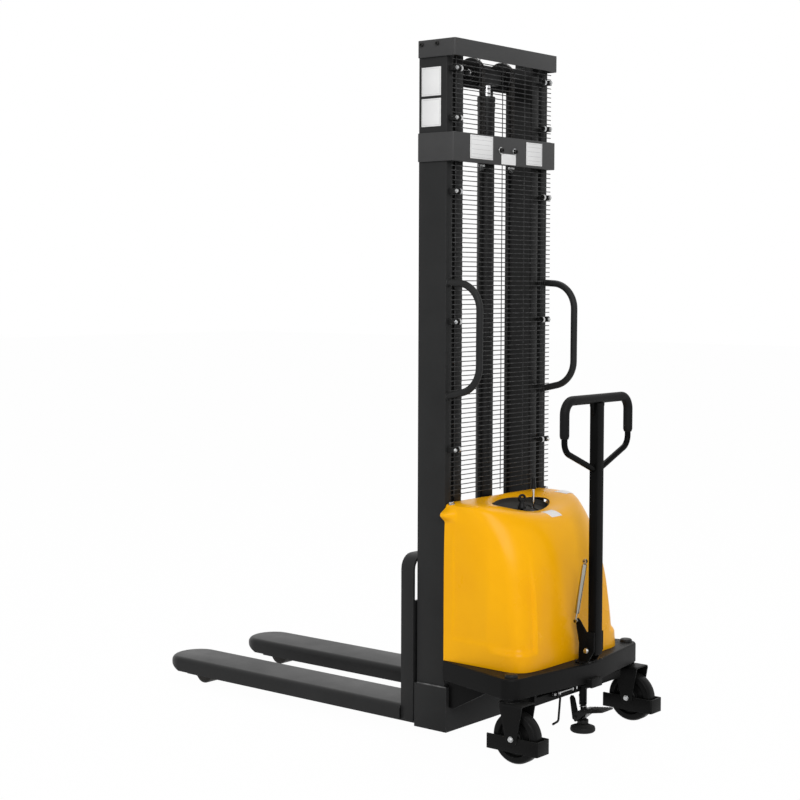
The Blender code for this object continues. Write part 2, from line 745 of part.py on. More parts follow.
def fork(side, sign):
    """Inverted-channel fork with a rounded tapered tip and an upright heel plate."""
    outer = FORK_SPREAD / 2
    inner = outer - FORK_WIDTH
    start = CARRIAGE_FRONT + TOUCH
    low = FORK_TOP - FORK_SKIRT

    def tip_outline(inset, back):
        half = FORK_WIDTH / 2 - inset
        middle = (outer + inner) / 2
        round_y = FORK_TIP - inset - half * 0.9
        points = [(middle + half, back)]
        for step in range(11):
            angle = pi * step / 10
            points.append((middle + half * cos(angle), round_y + half * 0.9 * sin(angle)))
        points.append((middle - half, back))
        return mirror_x(points) if sign < 0 else points

    name = "fork_" + side
    blade = plate(name, [tip_outline(0, start)], "XY", (0, 0, (low + FORK_TOP) / 2), FORK_SKIRT,
                  "frame_paint")
    hollow = plate(name + "_hollow", [tip_outline(FORK_SHEET, start - 0.01)], "XY",
                   (0, 0, low - 0.02 + (FORK_SKIRT - FORK_SHEET) / 2), FORK_SKIRT - FORK_SHEET + 0.04, None)
    cut(blade, hollow)
    taper = box(name + "_taper", (-0.4, -0.15, -0.05), (0.4, 0.15, 0.05), None)
    slope = atan2(FORK_SKIRT * 0.55, FORK_TAPER)
    taper.rotation_euler = (slope, 0, 0)
    edge = Vector((0, FORK_TIP - FORK_TAPER, low))
    taper.location = edge + Matrix.Rotation(slope, 3, "X") @ Vector((0, 0.15, -0.05))
    cut(blade, taper)
    heel_front = HEEL_BACK + 0.014
    heel = span_box(name + "_heel", sign, inner + 0.004, CARRIAGE_HALF - CARRIAGE_BAR - 0.001,
                    (HEEL_BACK, heel_front), (FORK_TOP - FORK_SHEET, FORK_HEEL_HEIGHT))
    bridge = span_box(name + "_bridge", sign, inner + 0.004, CARRIAGE_HALF - CARRIAGE_BAR - 0.001,
                      (HEEL_BACK, start + 0.010), (FORK_TOP - FORK_SHEET, FORK_TOP - 0.0002))
    join(blade, heel, bridge)
    return blade


HEEL_BACK = PLATE_BACK + PLATE_THICKNESS + TOUCH


# Deck and casters -----------------------------------------------------------------------------

def deck_outline(inset):
    """Plan of the deck: straight sides that widen backwards, rounded corners and a shallow rear point."""
    front = MAST_REAR - 0.0005 - inset
    apex = MAST_REAR - DECK_APEX + inset
    corner = DECK_CORNER - inset
    centre = (DECK_HALF - DECK_CORNER, MAST_REAR - DECK_CORNER_BACK)
    right = [(OUTER_HALF + 0.006 - inset, front), *arc(centre, corner, 0.15, -1.35, 6)][::-1]
    right = [(0, apex)] + right
    left = [(-x, y) for x, y in reversed(right[1:])]
    return right + left


def deck():
    """Folded deck plate with its rim, the caster housings and the gussets that tie it to the mast."""
    low = DECK_TOP - DECK_RIM
    body = plate("deck", [deck_outline(0)], "XY", (0, 0, DECK_TOP - DECK_RIM / 2), DECK_RIM, "frame_paint")
    under = DECK_RIM - DECK_SHEET
    hollow = plate("deck_hollow", [deck_outline(0.006)], "XY", (0, 0, low + under / 2 - 0.01),
                   under + 0.02, None)
    cut(body, hollow)
    for side, sign in SIDES:
        middle = (HOUSING_LOW + DECK_TOP) / 2 - 0.001
        housing = rod("caster_housing_" + side, (sign * SWIVEL_X, SWIVEL_Y, middle),
                      "Z", 0.034, DECK_TOP - HOUSING_LOW - 0.002, None)
        bore = rod("caster_bore_" + side, (sign * SWIVEL_X, SWIVEL_Y, HOUSING_LOW), "Z",
                   STEM_RADIUS + RUNNING, 2 * (DECK_TOP - DECK_SHEET - HOUSING_LOW), None)
        front = MAST_REAR - CROSS_PLATE - 2 * TOUCH
        high = DECK_TOP - DECK_SHEET / 2
        points = [(front, high), (front, low - 0.085), (front - 0.175, low), (front - 0.175, high)]
        gusset = plate("gusset_" + side, [points], "YZ", (sign * (OUTER_HALF - 0.011), 0, 0), 0.006, None)
        join(body, housing, gusset)
        cut(body, bore)
    return body


STEM_RADIUS = 0.016
SWIVEL_Y = MAST_REAR - SWIVEL_BACK
HOUSING_LOW = CASTER_FORK_TOP + 0.002
WHEEL_Y = SWIVEL_Y - CASTER_TRAIL
CASTER_RADIUS = CASTER_DIAMETER / 2


def crossbar():
    """Bent flat bar under the deck that ties the casters and carries the floor lock."""
    half = SWIVEL_X - 0.075
    low = CROSSBAR_LOW
    bar = CROSSBAR_BAR
    high = DECK_TOP - DECK_SHEET - TOUCH
    outline = [(-half, low), (half, low), (half, high), (half - 0.012, high), (half - 0.012, low + bar),
               (-half + 0.012, low + bar), (-half + 0.012, high), (-half, high)]
    y = MAST_REAR - CROSSBAR_BACK - 0.025
    return plate("caster_crossbar", [outline], "XZ", (0, y, 0), 0.050, "frame_paint")


def caster(side, sign):
    """Swivelling fork with its stem, foot guard and axle, and the wheel."""
    x = sign * SWIVEL_X
    half = CASTER_TREAD / 2 + 0.003
    fork_half = half + GUARD_BAR_SHEET + CASTER_SHEET
    top = CASTER_FORK_TOP
    name = "caster_fork_" + side
    head_half = fork_half - 0.0006
    head = box(name, (x - head_half, WHEEL_Y - 0.036, top - 0.006), (x + head_half, SWIVEL_Y + 0.026, top),
               "frame_paint")
    stem_top = DECK_TOP - DECK_SHEET - 0.004
    stem = rod("stem_" + side, (x, SWIVEL_Y, (top - 0.003 + stem_top) / 2), "Z", STEM_RADIUS,
               stem_top - top + 0.003, None)
    ring = rod("swivel_ring_" + side, (x, SWIVEL_Y, top), "Z", 0.030, 0.003, None)
    join(head, stem, ring)
    lower = 0.020
    narrow = [(WHEEL_Y + 0.036, top - 0.002), *arc((WHEEL_Y, CASTER_RADIUS), lower, 0, -pi, 6),
              (WHEEL_Y - 0.034, top - 0.002)]
    for end in (-1, 1):
        cheek_x = x + end * (fork_half - CASTER_SHEET / 2)
        cheek = plate("caster_cheek", [narrow], "YZ", (cheek_x, 0, 0), CASTER_SHEET, None)
        join(head, cheek)
    guard_out = half + GUARD_BAR_SHEET + 0.001
    back = WHEEL_Y - CASTER_RADIUS - 0.013
    front = WHEEL_Y + CASTER_RADIUS + 0.012
    outline = [(x - guard_out, front), (x - guard_out, back), (x + guard_out, back), (x + guard_out, front),
               (x + half, front), (x + half, back + GUARD_BAR_SHEET), (x - half, back + GUARD_BAR_SHEET),
               (x - half, front)]
    bar = plate("foot_guard_" + side, [outline], "XY", (0, 0, GUARD_BAR_LOW + GUARD_BAR_HEIGHT / 2),
                GUARD_BAR_HEIGHT, None)
    axle = rod("caster_axle_" + side, (x, WHEEL_Y, CASTER_RADIUS), "X", CASTER_BORE - RUNNING,
               2 * fork_half + 0.014, None, 6)
    join(head, bar, axle)
    wheel = caster_wheel("caster_wheel_" + side, x)
    carry(pivot("caster_swivel_" + side, (x, SWIVEL_Y, top)), head)
    return head, wheel


def caster_wheel(name, x):
    """Wheel with a crowned tread and a dished hub."""
    half = CASTER_TREAD / 2
    radius = CASTER_RADIUS
    hub = 0.024
    dish = 0.052
    profile = [
        (CASTER_BORE, half), (hub, half), (hub + 0.003, half - 0.010), (dish, half - 0.010),
        (dish + 0.004, half - 0.002), (radius - 0.006, half - 0.002), (radius, half - 0.010),
        (radius, -half + 0.010), (radius - 0.006, -half + 0.002), (dish + 0.004, -half + 0.002),
        (dish, -half + 0.010), (hub + 0.003, -half + 0.010), (hub, -half), (CASTER_BORE, -half),
    ]
    return turned(name, profile, (x, WHEEL_Y, CASTER_RADIUS), "X", "nylon", 28)


def caster_cap(side, sign):
    return rod("caster_cap_" + side, (sign * SWIVEL_X, SWIVEL_Y, DECK_TOP + TOUCH + 0.005), "Z",
               0.024, 0.010, "black_plastic", 20, 0.021)


# Floor lock -----------------------------------------------------------------------------------

LOCK_Y = MAST_REAR - LOCK_BACK
LOCK_TRAVEL = 0.030
PEDAL_END = -OVERALL_LENGTH / 2
LOCK_STEM = 0.0075
RELEASE_ROD = 0.0035
RELEASE_EYE = 0.0045


def floor_lock():
    """Housing with its guide tube, the sprung plunger with pedal, the foot pad and the release lever."""
    under = DECK_TOP - DECK_SHEET - TOUCH
    slab_top = DECK_TOP - DECK_RIM - TOUCH
    slab_low = CROSSBAR_LOW + CROSSBAR_BAR + TOUCH
    front = MAST_REAR - CROSSBAR_BACK + 0.022
    housing = box("floor_lock_housing", (-0.028, LOCK_Y - 0.049, slab_low), (0.028, front, slab_top),
                  "frame_paint")
    neck = box("lock_neck", (-0.022, LOCK_Y + 0.006, slab_low + 0.004), (0.022, front - 0.004, under), None)
    guide = rod("lock_guide", (0, LOCK_Y, slab_low - 0.028), "Z", 0.0115, 0.064, None, 20)
    bore = rod("lock_bore", (0, LOCK_Y, 0.13), "Z", LOCK_STEM + RUNNING, 0.20, None, 20)
    join(housing, neck, guide)
    cut(housing, bore)
    stem_low = LOCK_TRAVEL + 0.024
    plunger = rod("floor_lock_plunger", (0, LOCK_Y, (stem_low + slab_top - 0.004) / 2), "Z", LOCK_STEM,
                  slab_top - 0.004 - stem_low, "dark_steel", 20)
    pedal_points = [(LOCK_Y + 0.012, 0.092), (LOCK_Y - 0.006, 0.100), (PEDAL_END, 0.111),
                    (PEDAL_END, 0.105), (LOCK_Y + 0.012, 0.062)]
    pedal = plate("lock_pedal", [pedal_points], "YZ", (0, 0, 0), 0.060, None)
    join(plunger, pedal)
    pad = turned("floor_lock_pad", [(0, stem_low - TOUCH), (0.020, stem_low - TOUCH), (0.040, 0.046),
                                    (0.042, 0.040), (0.040, LOCK_TRAVEL + 0.001), (0, LOCK_TRAVEL + 0.001)],
                 (0, LOCK_Y, 0), "Z", "rubber")
    lever_x = -0.007
    lever_y = front - 0.008
    lever_top = slab_low - TOUCH - RELEASE_EYE
    lever_points = [(lever_x, lever_y, lever_top), (lever_x, lever_y, 0.120),
                    (lever_x, lever_y + 0.006, 0.048), (lever_x, lever_y + 0.024, 0.034)]
    lever = tube("floor_lock_release", rounded(lever_points, 0.012, 3), RELEASE_ROD, "dark_steel")
    eye = rod("release_eye", (lever_x, lever_y, lever_top), "X", RELEASE_EYE, 0.012, None, 16)
    join(lever, eye)
    carry(pivot("floor_lock_slide", (0, LOCK_Y, LOCK_TRAVEL)), plunger, pad)
    carry(pivot("floor_lock_release_hinge", (lever_x, lever_y, lever_top)), lever)
    return housing


# Tiller ---------------------------------------------------------------------------------------

TILLER_Y = MAST_REAR - TILLER_BACK
TILLER_PIVOT_Y = MAST_REAR - TILLER_PIVOT_BACK
STRUT_FOOT = Vector((STRUT_X, MAST_REAR - STRUT_FOOT_BACK, STRUT_FOOT_Z))
STRUT_HEAD = Vector((STRUT_X, MAST_REAR - STRUT_HEAD_BACK, STRUT_HEAD_Z))
PIVOT_RADIUS = 0.006


def tiller_bracket():
    """Two cheeks on the deck, drilled for the tiller's pin, one of them with the strut's lug."""
    base_top = DECK_TOP + TOUCH + 0.004
    front = TILLER_PIVOT_Y + 0.030
    back = MAST_REAR - DECK_APEX + 0.002
    bracket = box("tiller_bracket", (-0.040, back, DECK_TOP + TOUCH), (0.040, front, base_top), "frame_paint")
    for side, sign in SIDES:
        top = TILLER_PIVOT_Z + 0.056
        points = [(front - 0.002, base_top - 0.002), (front - 0.004, TILLER_PIVOT_Z + 0.020)]
        if sign < 0:
            points += [(STRUT_FOOT.y + 0.008, STRUT_FOOT_Z), (STRUT_FOOT.y, STRUT_FOOT_Z + 0.008),
                       (STRUT_FOOT.y - 0.008, STRUT_FOOT_Z)]
        points += [(TILLER_PIVOT_Y + 0.002, top), (TILLER_PIVOT_Y - 0.026, top),
                   (TILLER_PIVOT_Y - 0.026, TILLER_PIVOT_Z), (back + 0.004, base_top - 0.002)]
        x = sign * (TILLER_WIDE / 2 + RUNNING + 0.003)
        cheek = plate("bracket_cheek_" + side, [points], "YZ", (x, 0, 0), 0.006, None)
        join(bracket, cheek)
    hole = rod("pivot_hole", (0, TILLER_PIVOT_Y, TILLER_PIVOT_Z), "X", PIVOT_RADIUS + RUNNING / 2, 0.2, None)
    stud = rod("strut_stud", (STRUT_X + 0.0085, STRUT_FOOT.y, STRUT_FOOT_Z), "X", 0.004,
               0.0085, None, 12)
    cut(bracket, hole)
    join(bracket, stud)
    return bracket


def handle_path():
    """Closed-looking loop of the handle: up one side, across the top and down the other to the tiller."""
    top = TILLER_PIVOT_Z + TILLER_LENGTH - 0.009
    bend_low = top - 0.145
    root_z = top - 0.208
    inside = TILLER_WIDE / 2 - 0.004
    corners = [(-inside, TILLER_Y, root_z), (-HANDLE_HALF, TILLER_Y, bend_low), (-HANDLE_HALF, TILLER_Y, top),
               (HANDLE_HALF, TILLER_Y, top), (HANDLE_HALF, TILLER_Y, bend_low), (inside, TILLER_Y, root_z)]
    return rounded(corners, 0.040, 6)


def tiller():
    """Rectangular tube with its pivot pin and handle loop, and the moulded grip over the loop."""
    low = TILLER_PIVOT_Z - 0.013
    high = TILLER_PIVOT_Z + TILLER_LENGTH - 0.022
    arm = box("tiller", (-TILLER_WIDE / 2, TILLER_Y - TILLER_DEEP / 2, low),
              (TILLER_WIDE / 2, TILLER_Y + TILLER_DEEP / 2, high), "frame_paint", 0.003)
    foot = box("tiller_foot", (-TILLER_WIDE / 2 + 0.001, TILLER_Y - 0.005, low + 0.001),
               (TILLER_WIDE / 2 - 0.001, TILLER_PIVOT_Y + 0.013, low + 0.040), None)
    pin = rod("tiller_pin", (0, TILLER_PIVOT_Y, TILLER_PIVOT_Z), "X", PIVOT_RADIUS, 0.060, None)
    path = handle_path()
    loop = tube("handle_loop", path, HANDLE_TUBE, None)
    join(arm, foot, pin, loop)
    sleeve = [point for point in path if point.z > path[-1].z + 0.108]
    grip_low = path[-1].z + 0.100
    ends = [Vector((-HANDLE_HALF, TILLER_Y, grip_low)), Vector((HANDLE_HALF, TILLER_Y, grip_low))]
    grip = tube("handle_grip", [ends[0]] + sleeve + [ends[1]], GRIP_RADIUS, "rubber", 4)
    bore = tube("grip_bore", path, HANDLE_TUBE + TOUCH, None)
    cut(grip, bore)
    relief = box("grip_relief", (-TILLER_WIDE / 2 - TOUCH, TILLER_Y - 0.03, high - 0.05),
                 (TILLER_WIDE / 2 + TOUCH, TILLER_Y + 0.03, high + TOUCH), None)
    cut(grip, relief)
    carry(pivot("tiller_pivot", (0, TILLER_PIVOT_Y, TILLER_PIVOT_Z)), arm, grip)
    return arm, grip


def strut():
    """Return strut beside the tiller: a rod on the bracket's lug inside a barrel at the tiller."""
    along = STRUT_HEAD - STRUT_FOOT
    length = along.length
    lean = -atan2(STRUT_HEAD.y - STRUT_FOOT.y, STRUT_HEAD.z - STRUT_FOOT.z)
    mouth = 0.055
    bore = 0.0036
    barrel = turned("strut_barrel", [
        (0, length - 0.006), (0.0055, length - 0.006), (0.0055, mouth), (bore, mouth), (bore, length - 0.010),
        (0, length - 0.010)], STRUT_FOOT, "Z", "bright_steel", 16)
    eye = rod("barrel_eye", STRUT_HEAD, "X", 0.0070, 0.008, None, 16)
    slim = 0.0028
    inner_rod = turned("strut_rod", [(0, length - 0.016), (slim, length - 0.016), (slim, 0.004), (0, 0.004)],
                       STRUT_FOOT, "Z", "bright_steel", 12)
    rod_eye = rod("rod_eye", STRUT_FOOT, "X", 0.0065, 0.007, None, 16)
    barrel.rotation_euler = (lean, 0, 0)
    inner_rod.rotation_euler = (lean, 0, 0)
    join(barrel, eye)
    join(inner_rod, rod_eye)
    carry(pivot("strut_foot_pivot", STRUT_FOOT), inner_rod, barrel)
    return barrel, inner_rod


# Cover and controls ---------------------------------------------------------------------------

# Rear depth behind the cover's front edge, height above the deck, loss of half width and squareness
# of the plan, for a cover drawn 0.474 m tall. The plan is boxy at the deck and round higher up.
COVER_DRAWN = 0.474
COVER_PROFILE = (
    (0.2905, TOUCH, 0.0, 7.5), (0.2885, 0.12, 0.0, 6.0), (0.2825, 0.24, 0.0, 4.2),
    (0.2650, 0.34, 0.001, 3.1), (0.2360, 0.405, 0.003, 2.8), (0.1980, 0.442, 0.006, 3.0),
    (0.1500, 0.462, 0.009, 3.8), (0.1150, 0.468, 0.010, 4.4), (0.0850, 0.471, 0.011, 5.0),
    (0.0450, 0.473, 0.014, 5.0), (0.006, COVER_DRAWN, 0.018, 5.0),
)


PANEL_Y = COVER_FRONT - PANEL_BACK
DISH_Y = COVER_FRONT - DISH_BACK


def cover_point(angle, depth, loss, squareness):
    """A point of the cover's plan at one level: boxy like a superellipse, widening behind the mast."""
    power = 2 / squareness
    across = (COVER_HALF - loss + COVER_BULGE * sin(angle)) * abs(cos(angle)) ** power
    back = depth * abs(sin(angle)) ** power
    return (across if cos(angle) > 0 else -across), COVER_FRONT - back


def cover_dip(x, y):
    """How far the cover's top is dished round the panel."""
    reach = ((x - PANEL_X) / DISH_HALF_WIDTH) ** 2 + ((y - DISH_Y) / DISH_HALF_DEPTH) ** 2
    return DISH_DEPTH * max(0.0, 1 - reach) ** 2


def cover():
    """Moulded shell over the power pack, open to the mast and to the deck, with the panel's hole."""
    mesh = bpy.data.meshes.new("cover")
    verts = []
    for depth, height, loss, squareness in COVER_PROFILE:
        for step in range(COVER_SPANS + 1):
            x, y = cover_point(pi * step / COVER_SPANS, depth, loss, squareness)
            verts.append((x, y, DECK_TOP + height * COVER_HEIGHT / COVER_DRAWN - cover_dip(x, y)))
    row = COVER_SPANS + 1
    faces = []
    for level in range(len(COVER_PROFILE) - 1):
        for step in range(COVER_SPANS):
            start = level * row + step
            faces.append((start, start + row, start + row + 1, start + 1))
    mesh.from_pydata(verts, [], faces)
    mesh.shade_smooth()
    shell = link("cover", mesh, "cover_paint")
    wall = shell.modifiers.new("wall", "SOLIDIFY")
    wall.thickness = COVER_WALL
    wall.offset = 1.0
    hole = rod("panel_hole", (PANEL_X, PANEL_Y, PANEL_RIM + 0.05), "Z", 1.0, 0.2, None, 32)
    hole.scale = (PANEL_LONG + TOUCH, PANEL_SHORT + TOUCH, 1.0)
    cut(shell, hole)
    return shell


LEVER_X = 0.058
LEVER_RADIUS = 0.0033
KNOB_X = -0.002


def panel_slice(name, low, high):
    """The space between two heights over the panel's middle, sloping down to the rear."""
    reach = 2 * PANEL_SHORT
    drop = reach * PANEL_SLOPE
    points = [(PANEL_Y - reach, low - drop), (PANEL_Y + reach, low + drop),
              (PANEL_Y + reach, high + drop), (PANEL_Y - reach, high - drop)]
    return plate(name, [points], "YZ", (PANEL_X, 0, 0), 3 * PANEL_LONG, None)


def control_panel():
    """Oval dish set in the cover's top and sloped with it, with the seats of lever and switch."""
    dish = rod("control_panel", (PANEL_X, PANEL_Y, PANEL_FLOOR), "Z", 1.0, 0.1, "grey_plastic", 32)
    dish.scale = (PANEL_LONG, PANEL_SHORT, 1.0)
    cut(dish, panel_slice("over_rim", PANEL_RIM, PANEL_RIM + 0.1))
    cut(dish, panel_slice("under_floor", PANEL_FLOOR - PANEL_SHEET - 0.1, PANEL_FLOOR - PANEL_SHEET))
    hollow = rod("panel_hollow", (PANEL_X, PANEL_Y, PANEL_FLOOR), "Z", 1.0, 0.2, None, 32)
    hollow.scale = (PANEL_LONG - PANEL_WALL, PANEL_SHORT - PANEL_WALL, 1.0)
    cut(hollow, panel_slice("panel_floor", PANEL_FLOOR - 0.15, PANEL_FLOOR))
    reach = LEVER_RADIUS + RUNNING
    slot = box("lever_slot", (LEVER_X - reach, PANEL_Y - 0.022, PANEL_FLOOR - 0.05),
               (LEVER_X + reach, PANEL_Y + 0.022, PANEL_FLOOR + 0.05), None)
    socket = rod("switch_hole", (KNOB_X, PANEL_Y, PANEL_FLOOR), "Z", 0.0052, 0.05, None, 16)
    return cut(dish, hollow, slot, socket)


def controls():
    """Lift lever on its cross pin, and the round isolator switch."""
    pivot_z = PANEL_FLOOR - 0.020
    lever = rod("control_lever", (LEVER_X, PANEL_Y, (pivot_z + PANEL_FLOOR + 0.062) / 2), "Z", LEVER_RADIUS,
                PANEL_FLOOR + 0.062 - pivot_z, "bright_steel", 12)
    knob = rod("lever_grip", (LEVER_X, PANEL_Y, PANEL_FLOOR + 0.077), "Z", 0.0085, 0.036, None, 16, 0.0065)
    pin = rod("lever_pin", (LEVER_X, PANEL_Y, pivot_z), "X", 0.004, 0.024, None, 12)
    join(lever, knob, pin)
    stem = rod("isolator_switch", (KNOB_X, PANEL_Y, PANEL_FLOOR + 0.008), "Z", 0.0045, 0.044,
               "black_plastic", 16)
    head = rod("switch_head", (KNOB_X, PANEL_Y, PANEL_FLOOR + 0.036), "Y", 0.014, 0.010, None, 20)
    collar = rod("switch_collar", (KNOB_X, PANEL_Y, PANEL_FLOOR + 0.0155), "Z", 0.013, 0.020, None, 20,
                 0.009)
    join(stem, collar, head)
    carry(pivot("lever_pivot", (LEVER_X, PANEL_Y, pivot_z)), lever)
    return lever, stem


# Power pack -----------------------------------------------------------------------------------

def power_pack():
    """Battery, oil tank with the pump block on it, motor and the pipe to the lift cylinder."""
    floor = DECK_TOP + TOUCH
    front = COVER_FRONT - 0.025
    battery = box("battery", (-0.235, front - 0.185, floor), (-0.015, front, floor + 0.215),
                  "black_plastic", 0.004)
    tank_top = floor + 0.160
    tank = box("oil_tank", (0.045, front - 0.175, floor), (0.225, front, tank_top), "frame_paint", 0.006)
    block_top = tank_top + TOUCH + 0.055
    block_x = 0.125
    block_y = front - 0.088
    block = box("pump_block", (block_x - 0.045, block_y - 0.045, tank_top - 0.002),
                (block_x + 0.045, block_y + 0.045, block_top), None)
    join(tank, block)
    motor_low = block_top + TOUCH
    motor_high = motor_low + 0.150
    motor_profile = [(0, motor_high), (0.050, motor_high), (0.055, motor_high - 0.008),
                     (0.055, motor_low + 0.010), (0.042, motor_low), (0, motor_low)]
    motor = turned("pump_motor", motor_profile, (block_x, block_y, 0), "Z", "black_plastic")
    pipe_z = tank_top + 0.028
    start = Vector((block_x - 0.045 - TOUCH, block_y, pipe_z))
    port_y = SHEAVE_Y - RAM_RADIUS - 0.009 - TOUCH
    corners = [start, (0.015, block_y, pipe_z), (0.0, MAST_REAR - 0.060, PORT_Z + 0.070),
               (0, MAST_REAR - 0.030, PORT_Z), (0, port_y, PORT_Z)]
    pipe = tube("lift_pipe", rounded(corners, 0.022, 4), 0.007, "dark_steel", 2)
    return battery, tank, motor, pipe


# Assembly -------------------------------------------------------------------------------------

lift = pivot("mast_lift", (0, SHEAVE_Y, INNER_FOOT))
carriage_slide = pivot("carriage_lift", (0, CARRIAGE_BACK, FORK_TOP), lift)

for side, sign in SIDES:
    outer_rail(side, sign)
    roller("upper_roller_" + side, sign * UPPER_ROLLER_X, MAST_MIDDLE, UPPER_ROLLER_Z)
    grab_handle(side, sign)
    caster(side, sign)
    caster_cap(side, sign)
    load_roller(side, sign)

wrap_plate("mast_top_beam", BEAM_SETBACK, MAST_HEIGHT - BEAM_HEIGHT, BEAM_HEIGHT)
wrap_plate("mast_band", BAND_SETBACK, BAND_LOW, BAND_HEIGHT)
anchor_beam()
guard()
lift_cylinder()
support_legs()
deck()
crossbar()
floor_lock()

for side, sign in SIDES:
    carry(lift, inner_rail(side, sign))
    carry(lift, roller("lower_roller_" + side, sign * LOWER_ROLLER_X, MAST_MIDDLE, LOWER_ROLLER_Z))
    carry(lift, sheave(side, sign))
    chain_front, chain_rear = chains(side, sign)
    carry(lift, chain_front)
carry(lift, *inner_ties(), crosshead(), piston_rod())

carry(carriage_slide, carriage())
for side, sign in SIDES:
    carry(carriage_slide, fork(side, sign))
    for level, height in CARRIAGE_ROLLERS:
        wheel = roller("carriage_roller_" + level + "_" + side, sign * CARRIAGE_ROLLER_X, MAST_MIDDLE, height)
        carry(carriage_slide, wheel)

tiller_bracket()
tiller()
strut()
cover()
control_panel()
controls()
power_pack()
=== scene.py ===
import json
from math import atan2, cos, degrees, hypot, pi, radians, sin, sqrt

import bmesh
import bpy
from mathutils import Matrix, Vector, noise
from mathutils.bvhtree import BVHTree

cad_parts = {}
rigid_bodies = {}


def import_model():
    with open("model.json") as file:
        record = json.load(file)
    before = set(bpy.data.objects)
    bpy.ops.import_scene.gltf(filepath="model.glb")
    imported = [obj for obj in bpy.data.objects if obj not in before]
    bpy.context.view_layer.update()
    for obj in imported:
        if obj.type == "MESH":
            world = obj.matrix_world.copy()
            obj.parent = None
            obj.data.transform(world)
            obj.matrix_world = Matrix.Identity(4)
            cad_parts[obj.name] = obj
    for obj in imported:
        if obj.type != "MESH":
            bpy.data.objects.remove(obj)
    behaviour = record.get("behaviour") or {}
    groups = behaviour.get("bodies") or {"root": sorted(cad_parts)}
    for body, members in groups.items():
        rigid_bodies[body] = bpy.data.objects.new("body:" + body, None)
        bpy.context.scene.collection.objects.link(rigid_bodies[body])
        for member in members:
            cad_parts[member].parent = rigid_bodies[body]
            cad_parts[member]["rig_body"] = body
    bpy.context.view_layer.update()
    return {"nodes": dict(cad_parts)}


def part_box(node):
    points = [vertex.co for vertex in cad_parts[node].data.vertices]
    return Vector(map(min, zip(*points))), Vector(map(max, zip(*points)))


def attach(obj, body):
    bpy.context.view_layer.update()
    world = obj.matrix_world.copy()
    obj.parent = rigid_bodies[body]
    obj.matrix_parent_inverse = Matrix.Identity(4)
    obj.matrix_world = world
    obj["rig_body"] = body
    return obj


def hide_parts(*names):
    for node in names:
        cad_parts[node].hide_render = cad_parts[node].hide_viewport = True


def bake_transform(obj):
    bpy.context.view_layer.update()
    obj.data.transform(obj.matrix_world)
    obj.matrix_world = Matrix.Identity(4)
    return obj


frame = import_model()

# Studio ---------------------------------------------------------------------------------------
# The truck stands on a pale floor in an even white surround, lit by three broad lamps.
# The camera looks at its rear left quarter from a little above head height.

EYE = (-4.1347, -3.3859, 1.3624)
HEADING = radians(50.400)
PITCH = radians(-2.916)
ROLL = radians(0.173)
LENS = 74.56
SHIFT = (0.0153, -0.0400)

scene = bpy.context.scene
scene.view_settings.view_transform = "Standard"

camera = bpy.data.objects.new("camera", bpy.data.cameras.new("camera"))
scene.collection.objects.link(camera)
camera.matrix_world = (Matrix.Translation(EYE) @ Matrix.Rotation(-HEADING, 4, "Z")
                       @ Matrix.Rotation(pi / 2 + PITCH, 4, "X") @ Matrix.Rotation(ROLL, 4, "Z"))
camera.data.lens = LENS
camera.data.sensor_width = 36.0
camera.data.shift_x, camera.data.shift_y = SHIFT
camera.data.clip_end = 100.0
scene.camera = camera


def place(tree, kind, settings=None, **inputs):
    """A new node: settings are its own options, inputs are values or sockets for its inputs."""
    node = tree.nodes.new(kind)
    for option, value in (settings or {}).items():
        setattr(node, option, value)
    for label, value in inputs.items():
        socket = node.inputs[int(label[1:])] if label[1:].isdigit() else node.inputs[label.replace("_", " ")]
        if isinstance(value, bpy.types.NodeSocket):
            tree.links.new(value, socket)
        else:
            socket.default_value = value
    return node


def seen_directly(tree):
    """1 where the camera, a reflection or a refraction sees the surround, 0 where it gives light."""
    path = place(tree, "ShaderNodeLightPath")
    either = place(tree, "ShaderNodeMath", {"operation": "MAXIMUM"},
                   i0=path.outputs["Is Camera Ray"], i1=path.outputs["Is Glossy Ray"])
    return place(tree, "ShaderNodeMath", {"operation": "MAXIMUM"},
                 i0=either.outputs[0], i1=path.outputs["Is Transmission Ray"]).outputs[0]


SURROUND_LIGHT = 0.42
world = bpy.data.worlds.new("surround")
world.use_nodes = True
scene.world = world
sky = world.node_tree
sky.nodes.clear()
lit = place(sky, "ShaderNodeBackground", Color=(1, 1, 1, 1), Strength=SURROUND_LIGHT)
shown = place(sky, "ShaderNodeBackground", Color=(1, 1, 1, 1), Strength=1.0)
choice = place(sky, "ShaderNodeMixShader", i0=seen_directly(sky), i1=lit.outputs[0], i2=shown.outputs[0])
place(sky, "ShaderNodeOutputWorld", i0=choice.outputs[0])

floor_mesh = bpy.data.meshes.new("floor")
floor_mesh.from_pydata([(-30, -30, 0), (30, -30, 0), (30, 30, 0), (-30, 30, 0)], [], [(0, 1, 2, 3)])
floor = bpy.data.objects.new("floor", floor_mesh)
scene.collection.objects.link(floor)
floor_paint = bpy.data.materials.new("pale_floor")
floor_paint.use_nodes = True
ground = floor_paint.node_tree
ground.nodes.clear()
FLOOR_WHITE = 0.985
matt = place(ground, "ShaderNodeBsdfDiffuse", Color=(0.86, 0.86, 0.86, 1))
glow = place(ground, "ShaderNodeEmission", Color=(1, 1, 1, 1), Strength=1.0)
share = place(ground, "ShaderNodeMath", {"operation": "MULTIPLY"}, i0=seen_directly(ground), i1=FLOOR_WHITE)
blend = place(ground, "ShaderNodeMixShader", i0=share.outputs[0], i1=matt.outputs[0], i2=glow.outputs[0])
place(ground, "ShaderNodeOutputMaterial", i0=blend.outputs[0])
floor_mesh.materials.append(floor_paint)

